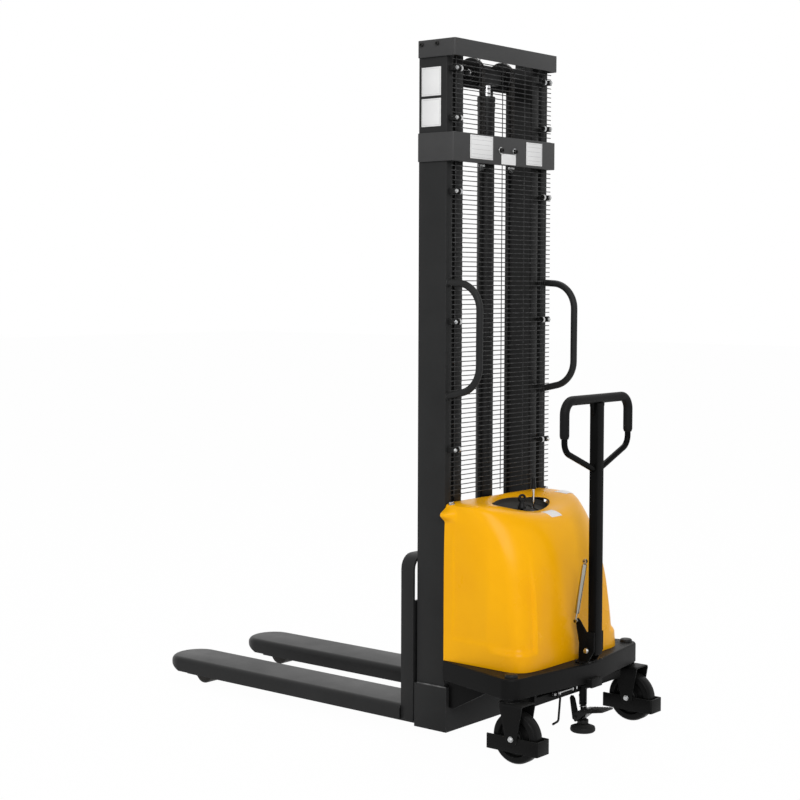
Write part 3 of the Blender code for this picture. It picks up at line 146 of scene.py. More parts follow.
LAMPS = (
    ("lamp_operator_side", (-4.1, -4.3, 4.2), 3.4, 215.0),
    ("lamp_near_side", (-5.0, 0.8, 2.8), 2.6, 18.0),
    ("lamp_overhead", (1.6, 0.6, 5.2), 3.2, 120.0),
)
for name, spot, size, power in LAMPS:
    lamp = bpy.data.objects.new(name, bpy.data.lights.new(name, "AREA"))
    lamp.data.size = size
    lamp.data.energy = power
    lamp.location = spot
    lamp.rotation_euler = (Vector((0, -0.3, 0.9)) - Vector(spot)).to_track_quat("-Z", "Y").to_euler()
    scene.collection.objects.link(lamp)

# Support legs and feet ------------------------------------------------------------------------
# The welded base: a plate under the mast, feet round the uprights and a flat leg under each fork.
# All of it is steel under a dark charcoal powder coat, with the weld beads left as they ran.


def group_tree(name, inputs, outputs):
    """An empty shader node group with these input and output sockets."""
    tree = bpy.data.node_groups.new(name, "ShaderNodeTree")
    for label, kind, default in inputs:
        socket = tree.interface.new_socket(label, in_out="INPUT", socket_type=kind)
        socket.default_value = default
    for label, kind in outputs:
        tree.interface.new_socket(label, in_out="OUTPUT", socket_type=kind)
    return tree, tree.nodes.new("NodeGroupInput"), tree.nodes.new("NodeGroupOutput")


def make_edge_wear():
    """Where handling rubs the finish: a broken line along the sharp edges."""
    tree, start, end = group_tree("edge_wear",
                                  [("Width", "NodeSocketFloat", 0.002), ("Amount", "NodeSocketFloat", 0.5)],
                                  [("Mask", "NodeSocketFloat")])
    bevel = place(tree, "ShaderNodeBevel", {"samples": 4}, Radius=start.outputs["Width"])
    flat = place(tree, "ShaderNodeNewGeometry")
    same = place(tree, "ShaderNodeVectorMath", {"operation": "DOT_PRODUCT"},
                 i0=bevel.outputs["Normal"], i1=flat.outputs["Normal"])
    edge = place(tree, "ShaderNodeMapRange", i0=same.outputs["Value"], i1=0.995, i2=0.86, i3=0.0, i4=1.0)
    spots = place(tree, "ShaderNodeTexNoise", Vector=place(tree, "ShaderNodeTexCoord").outputs["Object"],
                  Scale=70.0, Detail=5.0, Roughness=0.65)
    broken = place(tree, "ShaderNodeMapRange", i0=spots.outputs["Fac"], i1=0.42, i2=0.66, i3=0.0, i4=1.0)
    both = place(tree, "ShaderNodeMath", {"operation": "MULTIPLY"}, i0=edge.outputs[0], i1=broken.outputs[0])
    out = place(tree, "ShaderNodeMath", {"operation": "MULTIPLY"}, i0=both.outputs[0], i1=start.outputs["Amount"])
    tree.links.new(out.outputs[0], end.inputs["Mask"])
    return tree


def make_surface_grain():
    """The fine texture of a coat or a moulding as a height, and slow changes of tone over it."""
    tree, start, end = group_tree(
        "surface_grain",
        [("Size", "NodeSocketFloat", 900.0), ("Stretch", "NodeSocketVector", (1, 1, 1)),
         ("Blotch", "NodeSocketFloat", 6.0)],
        [("Height", "NodeSocketFloat"), ("Tone", "NodeSocketFloat")])
    where = place(tree, "ShaderNodeTexCoord")
    pulled = place(tree, "ShaderNodeVectorMath", {"operation": "MULTIPLY"},
                   i0=where.outputs["Object"], i1=start.outputs["Stretch"])
    fine = place(tree, "ShaderNodeTexNoise", Vector=pulled.outputs[0], Scale=start.outputs["Size"], Detail=2.0,
                 Roughness=0.5)
    slow = place(tree, "ShaderNodeTexNoise", Vector=where.outputs["Object"], Scale=start.outputs["Blotch"],
                 Detail=6.0, Roughness=0.6)
    tone = place(tree, "ShaderNodeMapRange", i0=slow.outputs["Fac"], i1=0.3, i2=0.7, i3=0.0, i4=1.0)
    tree.links.new(fine.outputs["Fac"], end.inputs["Height"])
    tree.links.new(tone.outputs[0], end.inputs["Tone"])
    return tree


def make_settled_dust():
    """Thin dust on whatever faces up, in patches."""
    tree, start, end = group_tree("settled_dust", [("Amount", "NodeSocketFloat", 0.2)], [("Mask", "NodeSocketFloat")])
    facing = place(tree, "ShaderNodeSeparateXYZ", i0=place(tree, "ShaderNodeNewGeometry").outputs["Normal"])
    up = place(tree, "ShaderNodeMapRange", i0=facing.outputs["Z"], i1=0.75, i2=1.0, i3=0.0, i4=1.0)
    patch = place(tree, "ShaderNodeTexNoise", Vector=place(tree, "ShaderNodeTexCoord").outputs["Object"],
                  Scale=14.0, Detail=7.0, Roughness=0.7)
    both = place(tree, "ShaderNodeMath", {"operation": "MULTIPLY"}, i0=up.outputs[0], i1=patch.outputs["Fac"])
    out = place(tree, "ShaderNodeMath", {"operation": "MULTIPLY"}, i0=both.outputs[0], i1=start.outputs["Amount"])
    tree.links.new(out.outputs[0], end.inputs["Mask"])
    return tree


EDGE_WEAR = make_edge_wear()
SURFACE_GRAIN = make_surface_grain()
SETTLED_DUST = make_settled_dust()


def finish(name, dark, light, rough, grain=900.0, depth=0.0001, stretch=(1, 1, 1), blotch=6.0, metal=0.0,
           wear=0.3, worn=(0.30, 0.30, 0.31), wear_width=0.0015, dust=0.03, coat=0.0, gleam=0.18):
    """A finish that runs between two tones and two roughnesses, with grain, rubbed edges and dust."""
    material = bpy.data.materials.new(name)
    material.use_nodes = True
    tree = material.node_tree
    shader = tree.nodes["Principled BSDF"]
    surface = place(tree, "ShaderNodeGroup", {"node_tree": SURFACE_GRAIN}, Size=grain, Stretch=stretch, Blotch=blotch)
    rubbed = place(tree, "ShaderNodeGroup", {"node_tree": EDGE_WEAR}, Width=wear_width, Amount=wear)
    dusty = place(tree, "ShaderNodeGroup", {"node_tree": SETTLED_DUST}, Amount=dust)
    tone = place(tree, "ShaderNodeMix", {"data_type": "RGBA"}, i0=surface.outputs["Tone"], i6=(*dark, 1),
                 i7=(*light, 1))
    edges = place(tree, "ShaderNodeMix", {"data_type": "RGBA"}, i0=rubbed.outputs["Mask"], i6=tone.outputs[2],
                  i7=(*worn, 1))
    top = place(tree, "ShaderNodeMix", {"data_type": "RGBA"}, i0=dusty.outputs["Mask"], i6=edges.outputs[2],
                i7=(0.36, 0.35, 0.33, 1))
    gloss = place(tree, "ShaderNodeMapRange", i0=surface.outputs["Tone"], i1=0.0, i2=1.0, i3=rough[0], i4=rough[1])
    bump = place(tree, "ShaderNodeBump", Strength=0.6, Distance=depth, Height=surface.outputs["Height"])
    tree.links.new(top.outputs[2], shader.inputs["Base Color"])
    tree.links.new(gloss.outputs[0], shader.inputs["Roughness"])
    tree.links.new(bump.outputs[0], shader.inputs["Normal"])
    shader.inputs["Metallic"].default_value = metal
    shader.inputs["Coat Weight"].default_value = coat
    shader.inputs["Coat Roughness"].default_value = 0.06
    shader.inputs["Specular IOR Level"].default_value = gleam
    return material


powder_coat = finish("powder_coat", (0.0165, 0.0168, 0.0170), (0.0225, 0.0228, 0.0230), (0.42, 0.52), 1100.0, 0.00012,
                     gleam=0.11)


def rounded_copy(node, piece, width, material, segments=2):
    """The CAD node's solid again, with its sharp edges rounded, standing for the node."""
    source = frame["nodes"][node]
    form = bmesh.new()
    form.from_mesh(source.data)
    bmesh.ops.remove_doubles(form, verts=form.verts, dist=1e-6)
    bmesh.ops.dissolve_limit(form, angle_limit=radians(0.6), verts=form.verts, edges=form.edges)
    mesh = bpy.data.meshes.new(piece)
    form.to_mesh(mesh)
    form.free()
    return settle(piece, mesh, source["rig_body"], material, width, segments, stands_for=[node])


def settle(piece, mesh, body, material, width=0.0, segments=2, angle=0.5, stands_for=()):
    """Make an object of a mesh, round its edges, shade it and let it ride on a body, if it has one."""
    mesh.materials.clear()
    mesh.materials.append(material)
    thing = bpy.data.objects.new(piece, mesh)
    scene.collection.objects.link(thing)
    if width:
        edge = thing.modifiers.new("edges", "BEVEL")
        edge.width = width
        edge.segments = segments
        edge.limit_method = "ANGLE"
        edge.angle_limit = angle
        edge.use_clamp_overlap = True
        edge.miter_outer = "MITER_ARC"
        graph = bpy.context.evaluated_depsgraph_get()
        done = bpy.data.meshes.new_from_object(thing.evaluated_get(graph))
        thing.modifiers.clear()
        thing.data = done
        bpy.data.meshes.remove(mesh)
        done.name = piece
    thing.data.shade_smooth()
    thing.data.set_sharp_from_angle(angle=radians(32))
    if body:
        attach(thing, body)
    if stands_for:
        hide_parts(*stands_for)
    return thing


rounded_copy("support_legs", "base_weldment", 0.0012, powder_coat)


def sweep(form, points, radius, sides=16, closed=False, ripple=0.0):
    """A round bar along a line of points, added to a bmesh."""
    points = [Vector(p) for p in points]
    count = len(points)
    rings = []
    normal = None
    for index, point in enumerate(points):
        ahead = points[(index + 1) % count] if closed or index < count - 1 else point
        behind = points[index - 1] if closed or index > 0 else point
        along = (ahead - behind).normalized()
        if normal is None:
            normal = along.orthogonal().normalized()
        normal = (normal - along * normal.dot(along)).normalized()
        side = along.cross(normal)
        size = radius(index) if callable(radius) else radius * (1 + ripple * (index % 2 * 2 - 1))
        turns = [2 * pi * k / sides for k in range(sides)]
        rings.append([form.verts.new(point + (normal * cos(turn) + side * sin(turn)) * size) for turn in turns])
    spans = count if closed else count - 1
    for index in range(spans):
        first, second = rings[index], rings[(index + 1) % count]
        for k in range(sides):
            form.faces.new((first[k], first[(k + 1) % sides], second[(k + 1) % sides], second[k]))
    if not closed:
        form.faces.new(rings[0][::-1])
        form.faces.new(rings[-1])


def made(piece, form, body, material, width=0.0, segments=2, stands_for=()):
    """Turn a bmesh into a finished piece."""
    bmesh.ops.recalc_face_normals(form, faces=form.faces)
    mesh = bpy.data.meshes.new(piece)
    form.to_mesh(mesh)
    form.free()
    return settle(piece, mesh, body, material, width, segments, stands_for=stands_for)


SIDES = (("left", -1), ("right", 1))
mast_low, mast_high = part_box("outer_rail_left")
MAST_REAR, MAST_FRONT = mast_low.y, mast_high.y
MAST_HALF = -mast_low.x
foot_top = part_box("support_legs")[1].z

bead = bmesh.new()
for side, sign in SIDES:
    start, end = MAST_REAR - 0.009, MAST_FRONT - 0.002
    run = [(sign * (MAST_HALF + 0.0005), start + (end - start) * k / 40, foot_top + 0.0005) for k in range(41)]
    sweep(bead, run, 0.0028, 10, ripple=0.10)
weld_metal = finish("scuffed_weld", (0.050, 0.050, 0.050), (0.20, 0.20, 0.20), (0.32, 0.50), 300.0, 0.0002,
                    blotch=30.0, metal=0.5)
made("foot_weld_beads", bead, "chassis", weld_metal)

# Load rollers ---------------------------------------------------------------------------------
# Cast polyurethane treads on steel cores, one in the tip of each leg.
# Each turns on a fixed axle and carries the weight under the forks.


AXES = {"X": Matrix.Rotation(pi / 2, 4, "Y"), "Y": Matrix.Rotation(-pi / 2, 4, "X"), "Z": Matrix.Identity(4)}


def lathe(form, profile, centre, axis="Z", steps=48, turn=None):
    """A turned solid: profile is (radius, height along the axis) from one end to the other."""
    place_at = Matrix.Translation(centre) @ (turn if turn is not None else AXES[axis])
    rings = []
    for radius, height in profile:
        if radius < 1e-6:
            rings.append([form.verts.new(place_at @ Vector((0, 0, height)))])
        else:
            rings.append([form.verts.new(place_at @ Vector((radius * cos(2 * pi * k / steps),
                                                            radius * sin(2 * pi * k / steps), height)))
                          for k in range(steps)])
    for low, high in zip(rings, rings[1:]):
        for k in range(steps):
            a, b = low[k % len(low)], low[(k + 1) % steps % len(low)]
            c, d = high[(k + 1) % steps % len(high)], high[k % len(high)]
            corners = []
            for vert in (a, b, c, d):
                if vert not in corners:
                    corners.append(vert)
            if len(corners) > 2:
                form.faces.new(corners)
    if profile[0] == profile[-1]:
        bmesh.ops.remove_doubles(form, verts=rings[0] + rings[-1], dist=1e-6)
    else:
        for ring in (rings[0][::-1], rings[-1]):
            if len(ring) > 2:
                form.faces.new(ring)


def mirrored(profile):
    """A turned ring: half of its profile, the same again on the other side, and back to the start."""
    return profile + [(r, -h) for r, h in reversed(profile)] + [profile[0]]


tread = finish("roller_tread", (0.020, 0.018, 0.016), (0.034, 0.031, 0.028), (0.38, 0.55), 240.0, 0.0003, (6, 1, 1),
               30.0, wear=0.5, worn=(0.06, 0.055, 0.05))
for side, sign in SIDES:
    low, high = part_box("load_roller_" + side)
    centre = (low + high) / 2
    radius, half = (high.z - low.z) / 2, (high.x - low.x) / 2
    roller = bmesh.new()
    lathe(roller, mirrored([(0.0108, -half), (0.026, -half), (0.0265, -half + 0.0015),
                            (radius - 0.004, -half + 0.0015), (radius - 0.001, -half + 0.003),
                            (radius, -half + 0.006)]), centre, "X", 64)
    made("load_roller_tread_" + side, roller, "load_roller_" + side, tread, stands_for=["load_roller_" + side])

# Outer mast -----------------------------------------------------------------------------------
# Two rolled channel uprights with a plate folded round them at the top and lower down.
# Black socket screws hold the plates, which carry blank white data plates.

for side, sign in SIDES:
    rounded_copy("outer_rail_" + side, "mast_upright_" + side, 0.0015, powder_coat)
beam_coat = finish("beam_coat", (0.043, 0.043, 0.0435), (0.055, 0.055, 0.0555), (0.38, 0.48), 1100.0, 0.00012,
                   gleam=0.14)
rounded_copy("mast_top_beam", "top_beam", 0.0016, beam_coat, 3)
rounded_copy("mast_band", "mast_band_plate", 0.0016, beam_coat, 3)
rounded_copy("chain_anchor_beam", "anchor_beam", 0.0010, powder_coat)

black_oxide = finish("black_oxide", (0.008, 0.008, 0.008), (0.018, 0.0175, 0.017), (0.30, 0.45), 500.0, 0.0001,
                     metal=0.4, wear=0.6, worn=(0.20, 0.20, 0.20), wear_width=0.0008)
zinc = finish("zinc_plate", (0.42, 0.43, 0.44), (0.58, 0.58, 0.57), (0.22, 0.36), 260.0, 0.0001, (1, 1, 6), 25.0,
              metal=1.0, wear=0.2, worn=(0.7, 0.7, 0.7))


def facing(toward):
    """The turn that points a form's Z axis this way."""
    return Vector(toward).to_track_quat("Z", "Y").to_matrix().to_4x4()


def hex_bolt(form, centre, toward, across, height, washer=0.0):
    """A hexagon head with a chamfered crown, on an optional washer, its axis along toward."""
    turn = facing(toward)
    if washer:
        lathe(form, [(washer * 0.98, 0), (washer, 0.0004), (washer, 0.0012), (washer * 0.98, 0.0016)], centre,
              steps=28, turn=turn)
    base = 0.0016 if washer else 0.0
    r = across / 2 / cos(pi / 6)
    lathe(form, [(r, base), (r, base + height * 0.85), (r * 0.90, base + height)], centre, steps=6, turn=turn)


def socket_screw(form, centre, toward, radius, height):
    """A round head with a blind socket in it."""
    turn = facing(toward)
    lathe(form, [(radius, 0), (radius, height - 0.0008), (radius - 0.0008, height), (radius * 0.55, height),
                 (radius * 0.5, height * 0.4), (0, height * 0.4)], centre, steps=28, turn=turn)


PLANES = {"XY": lambda a, b, h: Vector((a, b, h)), "XZ": lambda a, b, h: Vector((a, h, b)),
          "YZ": lambda a, b, h: Vector((h, a, b))}


def slab(form, outline, plane, low, high):
    """A flat plate: an outline in a plane, and its two levels across that plane."""
    where = PLANES[plane]
    bottom = [form.verts.new(where(a, b, low)) for a, b in outline]
    top = [form.verts.new(where(a, b, high)) for a, b in outline]
    form.faces.new(bottom[::-1])
    form.faces.new(top)
    for k in range(len(outline)):
        n = (k + 1) % len(outline)
        form.faces.new((bottom[k], bottom[n], top[n], top[k]))


def block(form, low, high):
    """A plate squared up between two opposite corners."""
    slab(form, [(low[0], low[1]), (high[0], low[1]), (high[0], high[1]), (low[0], high[1])], "XY", low[2], high[2])


beam_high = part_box("mast_top_beam")[1]
band_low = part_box("mast_band")[0]
BAND_SCREWS_X = (-0.030, 0.042)
BAND_SCREW_Z = 1.766
screws = bmesh.new()
for side, sign in SIDES:
    for y in (MAST_FRONT - 0.014, MAST_FRONT - 0.072):
        socket_screw(screws, (sign * beam_high.x, y, beam_high.z - 0.013), (sign, 0, 0), 0.0062, 0.0055)
for x in BAND_SCREWS_X:
    socket_screw(screws, (x, band_low.y, BAND_SCREW_Z), (0, -1, 0), 0.0078, 0.0085)
made("mast_screws", screws, "chassis", black_oxide)

collars = bmesh.new()
for x in BAND_SCREWS_X:
    lathe(collars, [(0.0100, 0), (0.0104, 0.0005), (0.0104, 0.0016), (0.0100, 0.0020), (0.0078, 0.0020)],
          (x, band_low.y, BAND_SCREW_Z), steps=28, turn=facing((0, -1, 0)))
made("band_screw_washers", collars, "chassis", zinc)

plate_white = finish("plate_white", (0.76, 0.76, 0.76), (0.85, 0.85, 0.85), (0.30, 0.42), 400.0, 0.00003, wear=0.2,
                     worn=(0.5, 0.5, 0.5), dust=0.05)
RULED_PLATES = ((-0.185, -0.071, 1.734, 1.804), (0.104, 0.190, 1.730, 1.800))
SMALL_PLATE = (-0.027, 0.048, 1.725, 1.757)
SIDE_PLATES = ((1.826, 1.908), (1.916, 2.000))
SIDE_REAR, SIDE_FRONT = MAST_REAR + 0.021, MAST_FRONT - 0.010
PLATE_FACE, PLATE_BACK = 0.0009, 0.0001
plates = bmesh.new()
for left, right, low, high in (RULED_PLATES[0], SMALL_PLATE, RULED_PLATES[1]):
    block(plates, (left, band_low.y - PLATE_FACE, low), (right, band_low.y - PLATE_BACK, high))
for low, high in SIDE_PLATES:
    block(plates, (-MAST_HALF - PLATE_FACE, SIDE_REAR, low), (-MAST_HALF - PLATE_BACK, SIDE_FRONT, high))
made("band_data_plates", plates, "chassis", plate_white, 0.0004)

plate_line = finish("plate_border", (0.30, 0.30, 0.31), (0.36, 0.36, 0.37), (0.35, 0.5), 300.0, 0.00003, wear=0.0)
BORDER = 0.004
BORDER_LINE, RULE_LINE = 0.0004, 0.0003
RULES = 5


def inner_corners(start, end, low, high):
    """The corners of a plate's border, a little inside its edges."""
    return [(start + BORDER, low + BORDER), (end - BORDER, low + BORDER), (end - BORDER, high - BORDER),
            (start + BORDER, high - BORDER)]


lines = bmesh.new()
for left, right, low, high in RULED_PLATES:
    y = band_low.y - PLATE_FACE
    sweep(lines, [(x, y, z) for x, z in inner_corners(left, right, low, high)], BORDER_LINE, 6, closed=True)
    for rule in range(1, RULES):
        z = low + (high - low) * rule / RULES
        sweep(lines, [(left + 2 * BORDER, y, z), (right - 2 * BORDER, y, z)], RULE_LINE, 6)
for low, high in SIDE_PLATES:
    corners = inner_corners(SIDE_REAR, SIDE_FRONT, low, high)
    sweep(lines, [(-MAST_HALF - PLATE_FACE, y, z) for y, z in corners], BORDER_LINE, 6, closed=True)
made("plate_borders", lines, "chassis", plate_line)

# Guard ----------------------------------------------------------------------------------------
# A welded mesh of thin black wire that keeps hands out of the mast on the operator's side.
# Rubber-lined clips and small plated screws tie it to the rear faces of the uprights.

wire_black = finish("wire_black", (0.006, 0.006, 0.006), (0.013, 0.013, 0.013), (0.30, 0.45), 500.0, 0.00008,
                    wear=0.5)
guard_low, guard_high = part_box("guard_mesh")
WIRE = 0.0014
WIRE_PITCH = 0.0141
WIRE_OVERRUN = 0.020
WIRE_DRIFT = 0.0006
wires = bmesh.new()
guard_y = guard_low.y + 0.0022
wire_ends = (guard_low.x - WIRE_OVERRUN, 0, guard_high.x + WIRE_OVERRUN)
for row in range(int((guard_high.z - guard_low.z) / WIRE_PITCH) + 1):
    z = guard_low.z + 0.002 + row * WIRE_PITCH
    drift = WIRE_DRIFT * noise.noise(Vector((row * 0.7, 0, 0)))
    sweep(wires, [(x, guard_y + drift, z) for x in wire_ends], WIRE, 8)
for column in range(5):
    x = guard_low.x + 0.002 + column * (guard_high.x - guard_low.x - 0.004) / 4
    y = guard_y + 2 * WIRE
    sweep(wires, [(x, y, guard_low.z - 0.004), (x, y, guard_high.z + 0.004)], WIRE, 8)
made("guard_wires", wires, "chassis", wire_black, stands_for=["guard_mesh"])

rubber = finish("black_rubber", (0.006, 0.006, 0.006), (0.012, 0.012, 0.012), (0.55, 0.75), 700.0, 0.00025, wear=0.1,
                dust=0.08)
CLIP_HEIGHTS = (1.995, 1.850, 1.635, 1.250, 0.870)
CLIP_X, CLIP_LOOP_X = 0.2435, 0.218
CLIP_REAR = MAST_REAR - 0.0235
clips = bmesh.new()
clip_screws = bmesh.new()
for side, sign in SIDES:
    for z in CLIP_HEIGHTS:
        x = sign * CLIP_X
        block(clips, (x - 0.008, CLIP_REAR, z - 0.0075), (x + 0.008, MAST_REAR - 0.0003, z + 0.0075))
        hex_bolt(clip_screws, (x, CLIP_REAR, z), (0, -1, 0), 0.0080, 0.0040, 0.0060)
        loop_at = (sign * CLIP_LOOP_X, guard_y + 0.0005, z)
        lathe(clips, mirrored([(0.0052, -0.006), (0.0085, -0.006)]), loop_at, "X", 24)
        lathe(clip_screws, mirrored([(0.0086, -0.004), (0.0096, -0.004)]), loop_at, "X", 24)
made("guard_clips", clips, "chassis", rubber, 0.0008)
made("guard_clip_screws", clip_screws, "chassis", zinc)

# Grab handles ---------------------------------------------------------------------------------
# Bent round steel bars to push and steady the truck by, one on each side.
# They are welded by their ends to the rear faces of the uprights and coated with them.


def bent(corners, radius, steps=8):
    """A line of points through these corners, with an arc of this radius at each inner one."""
    corners = [Vector(c) for c in corners]
    points = [corners[0]]
    for before, corner, after in zip(corners, corners[1:], corners[2:]):
        u, v = (before - corner).normalized(), (after - corner).normalized()
        half = u.angle(v) / 2
        reach = radius / max(1e-6, abs(sin(half) / cos(half)))
        centre = corner + (u + v).normalized() * (radius / sin(half))
        a, b = corner + u * reach - centre, corner + v * reach - centre
        for k in range(steps + 1):
            points.append(centre + a.normalized().slerp(b.normalized(), k / steps) * radius)
    return points + [corners[-1]]


HANDLE_BEND = 0.080
for side, sign in SIDES:
    low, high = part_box("grab_handle_" + side)
    thick = (high.x - low.x) / 2
    x = (low.x + high.x) / 2
    bar = bmesh.new()
    line = [(x, high.y, low.z + thick), (x, low.y + thick + 0.001, low.z + thick + 0.026),
            (x, low.y + thick, high.z - thick - 0.006), (x, high.y, high.z - thick)]
    sweep(bar, bent(line, HANDLE_BEND, 18), thick, 24)
    for z in (low.z + thick, high.z - thick):
        weld = [(x + (thick + 0.001) * cos(2 * pi * k / 28), high.y - 0.0015,
                 z + (thick + 0.001) * sin(2 * pi * k / 28)) for k in range(28)]
        sweep(bar, weld, 0.0022, 8, closed=True, ripple=0.12)
    made("grab_bar_" + side, bar, "chassis", powder_coat, stands_for=["grab_handle_" + side])

# Lift cylinder and piston rod -----------------------------------------------------------------
# A black painted steel tube with a screwed gland and an oil port, standing on the base plate.
# The hard chromed rod that comes out of it lifts the inner mast.

oiled_paint = finish("oiled_paint", (0.004, 0.004, 0.004), (0.010, 0.010, 0.010), (0.22, 0.36), 500.0, 0.00008,
                     blotch=9.0)
chrome = finish("hard_chrome", (0.60, 0.61, 0.62), (0.72, 0.72, 0.73), (0.06, 0.13), 900.0, 0.00002, (1, 1, 12), 8.0,
                metal=1.0, wear=0.0)
low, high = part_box("lift_cylinder")
wheel_low, wheel_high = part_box("chain_wheel_left")
ram_y = (wheel_low.y + wheel_high.y) / 2
RAM, GLAND, ROD = 0.0265, 0.028, 0.015
ram = bmesh.new()
lathe(ram, [(0, low.z), (RAM, low.z), (RAM, high.z - 0.044), (RAM + 0.0008, high.z - 0.043),
            (RAM + 0.0008, high.z - 0.034), (RAM, high.z - 0.033), (RAM, high.z - 0.031), (GLAND, high.z - 0.030),
            (GLAND, high.z - 0.020), (GLAND - 0.0012, high.z - 0.019), (GLAND - 0.0012, high.z - 0.016),
            (GLAND, high.z - 0.015), (GLAND, high.z - 0.002), (GLAND - 0.0015, high.z), (0.0172, high.z),
            (0.0168, high.z - 0.003), (0, high.z - 0.003)],
      (0, ram_y, 0), "Z", 56)
port_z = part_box("deck")[1].z + 0.035
lathe(ram, [(0.0100, -0.010), (0.0100, 0.008), (0.0085, 0.0095), (0, 0.0095)], (0, ram_y - RAM, port_z),
      steps=28, turn=facing((0, -1, 0)))
made("lift_ram", ram, "chassis", oiled_paint, stands_for=["lift_cylinder"])

low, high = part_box("piston_rod")
stem = bmesh.new()
lathe(stem, [(0, low.z), (0.0135, low.z), (ROD, low.z + 0.002), (ROD, high.z - 0.0004), (0.0146, high.z),
             (0, high.z)],
      (0, ram_y, 0), "Z", 56)
made("lift_piston_rod", stem, "inner_mast", chrome, stands_for=["piston_rod"])

# Inner mast -----------------------------------------------------------------------------------
# Two I-section rails of dark rolled steel, rubbed at the edges, tied at the top and the foot.
# The crosshead sits on the rod's end, lifts them and carries the pin of the chain wheels.

rolled = finish("rail_steel", (0.006, 0.006, 0.006), (0.013, 0.013, 0.013), (0.30, 0.46), 320.0, 0.00015, (1, 1, 0.2),
                12.0, wear=0.7, worn=(0.22, 0.22, 0.23), gleam=0.15)
for side, sign in SIDES:
    rounded_copy("inner_rail_" + side, "inner_upright_" + side, 0.0015, rolled)
rounded_copy("inner_top_beam", "inner_head_beam", 0.0012, powder_coat)
rounded_copy("inner_foot_tie", "inner_foot_bar", 0.0010, powder_coat)
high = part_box("crosshead")[1]
HEAD_HALF = 0.045
head = bmesh.new()
block(head, (-HEAD_HALF, ram_y - 0.025, 1.970), (HEAD_HALF, high.y - 0.0003, 2.016))
made("crosshead_block", head, "inner_mast", powder_coat, 0.003, 3, stands_for=["crosshead"])
bright = finish("turned_steel", (0.30, 0.30, 0.31), (0.42, 0.42, 0.42), (0.20, 0.34), 300.0, 0.0001, (1, 1, 1), 20.0,
                metal=1.0, wear=0.3, worn=(0.6, 0.6, 0.6))
wheel_z = (wheel_low.z + wheel_high.z) / 2
pin = bmesh.new()
for side, sign in SIDES:
    lathe(pin, [(0, HEAD_HALF - 0.001), (0.010, HEAD_HALF - 0.001), (0.010, high.x - 0.001), (0.009, high.x),
                (0, high.x)],
          (0, ram_y, wheel_z), steps=36, turn=AXES["X"] if sign > 0 else Matrix.Rotation(-pi / 2, 4, "Y"))
made("chain_wheel_pin", pin, "inner_mast", bright)

# Chain wheels and chains ----------------------------------------------------------------------
# A grooved steel wheel on each side of the crosshead. A leaf chain runs up from its anchor on
# the outer mast, over the wheel and down to the carriage, so the carriage moves twice as far.

cast = finish("dark_wheel", (0.006, 0.006, 0.006), (0.014, 0.014, 0.014), (0.32, 0.48), 260.0, 0.0002, metal=0.4,
              wear=0.8)
chain_steel = finish("chain_steel", (0.020, 0.019, 0.018), (0.045, 0.042, 0.040), (0.28, 0.42), 900.0, 0.0001,
                     blotch=40.0, metal=0.8, wear=0.6, worn=(0.28, 0.27, 0.26), wear_width=0.0006)
CHAIN_PITCH = 0.0127
LINK_HALF = 0.0053
LEAVES = ((-0.0078, -0.0060), (-0.0040, -0.0022), (0.0022, 0.0040), (0.0060, 0.0078))
INNER_LEAVES = ((-0.0059, -0.0041), (-0.0009, 0.0009), (0.0041, 0.0059))
PIN_HALF, PIN_THICK = 0.0080, 0.0022


def leaf(form, x, start, end, low, high):
    """One figure-of-eight link plate between two pins, in the plane across X."""
    along = (end - start).normalized()
    across = Vector((0, -along.z, along.y))
    outline = []
    for centre, first in ((end, 0), (start, pi)):
        for k in range(5):
            angle = first + pi * (0.5 - k / 4)
            outline.append(centre + (along * cos(angle) + across * sin(angle)) * LINK_HALF)
    slab(form, [(p.y, p.z) for p in outline], "YZ", x + low, x + high)


def chain(form, x, pins):
    """Link plates in turn, outer and inner, and the pins through them."""
    for index, (start, end) in enumerate(zip(pins, pins[1:])):
        for low, high in (LEAVES if index % 2 else INNER_LEAVES):
            leaf(form, x, start, end, low, high)
    for point in pins:
        lathe(form, [(0, -PIN_HALF), (PIN_THICK, -PIN_HALF), (PIN_THICK, PIN_HALF), (0, PIN_HALF)],
              (x, point.y, point.z), "X", 8)


for side, sign in SIDES:
    low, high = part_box("chain_wheel_" + side)
    x = (low.x + high.x) / 2
    half, rim = (high.x - low.x) / 2, (high.z - low.z) / 2
    groove, root = 0.0088, rim - 0.0103
    wheel = bmesh.new()
    lathe(wheel, mirrored([(0.0108, half), (0.020, half), (0.021, half - 0.003), (root - 0.006, half - 0.003),
                           (root - 0.004, half), (rim - 0.001, half), (rim, half - 0.001),
                           (rim - 0.0005, groove + 0.0004), (root, groove - 0.0004)]), (x, ram_y, wheel_z), "X", 64)
    made("chain_wheel_body_" + side, wheel, "chain_wheel_" + side, cast, stands_for=["chain_wheel_" + side])

    for name, body in (("chain_rear_", "chassis"), ("chain_front_", "carriage")):
        low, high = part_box(name + side)
        y = (low.y + high.y) / 2
        count = max(2, round((high.z - low.z) / CHAIN_PITCH))
        first_pin = low.z + 0.004
        pins = [Vector((x, y, first_pin + (high.z - low.z - 0.004) * k / count)) for k in range(count + 1)]
        run = bmesh.new()
        chain(run, x, pins)
        piece = made("leaf_" + name + side, run, None, chain_steel, stands_for=[name + side])
        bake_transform(piece)

    radius = (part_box("chain_front_" + side)[1].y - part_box("chain_rear_" + side)[0].y - 0.011) / 2
    links = round(pi * radius / CHAIN_PITCH)
    arc = [Vector((x, ram_y - radius * cos(pi * k / links), wheel_z + radius * sin(pi * k / links)))
           for k in range(links + 1)]
    over = bmesh.new()
    chain(over, x, arc)
    made("chain_over_wheel_" + side, over, "inner_mast", chain_steel)

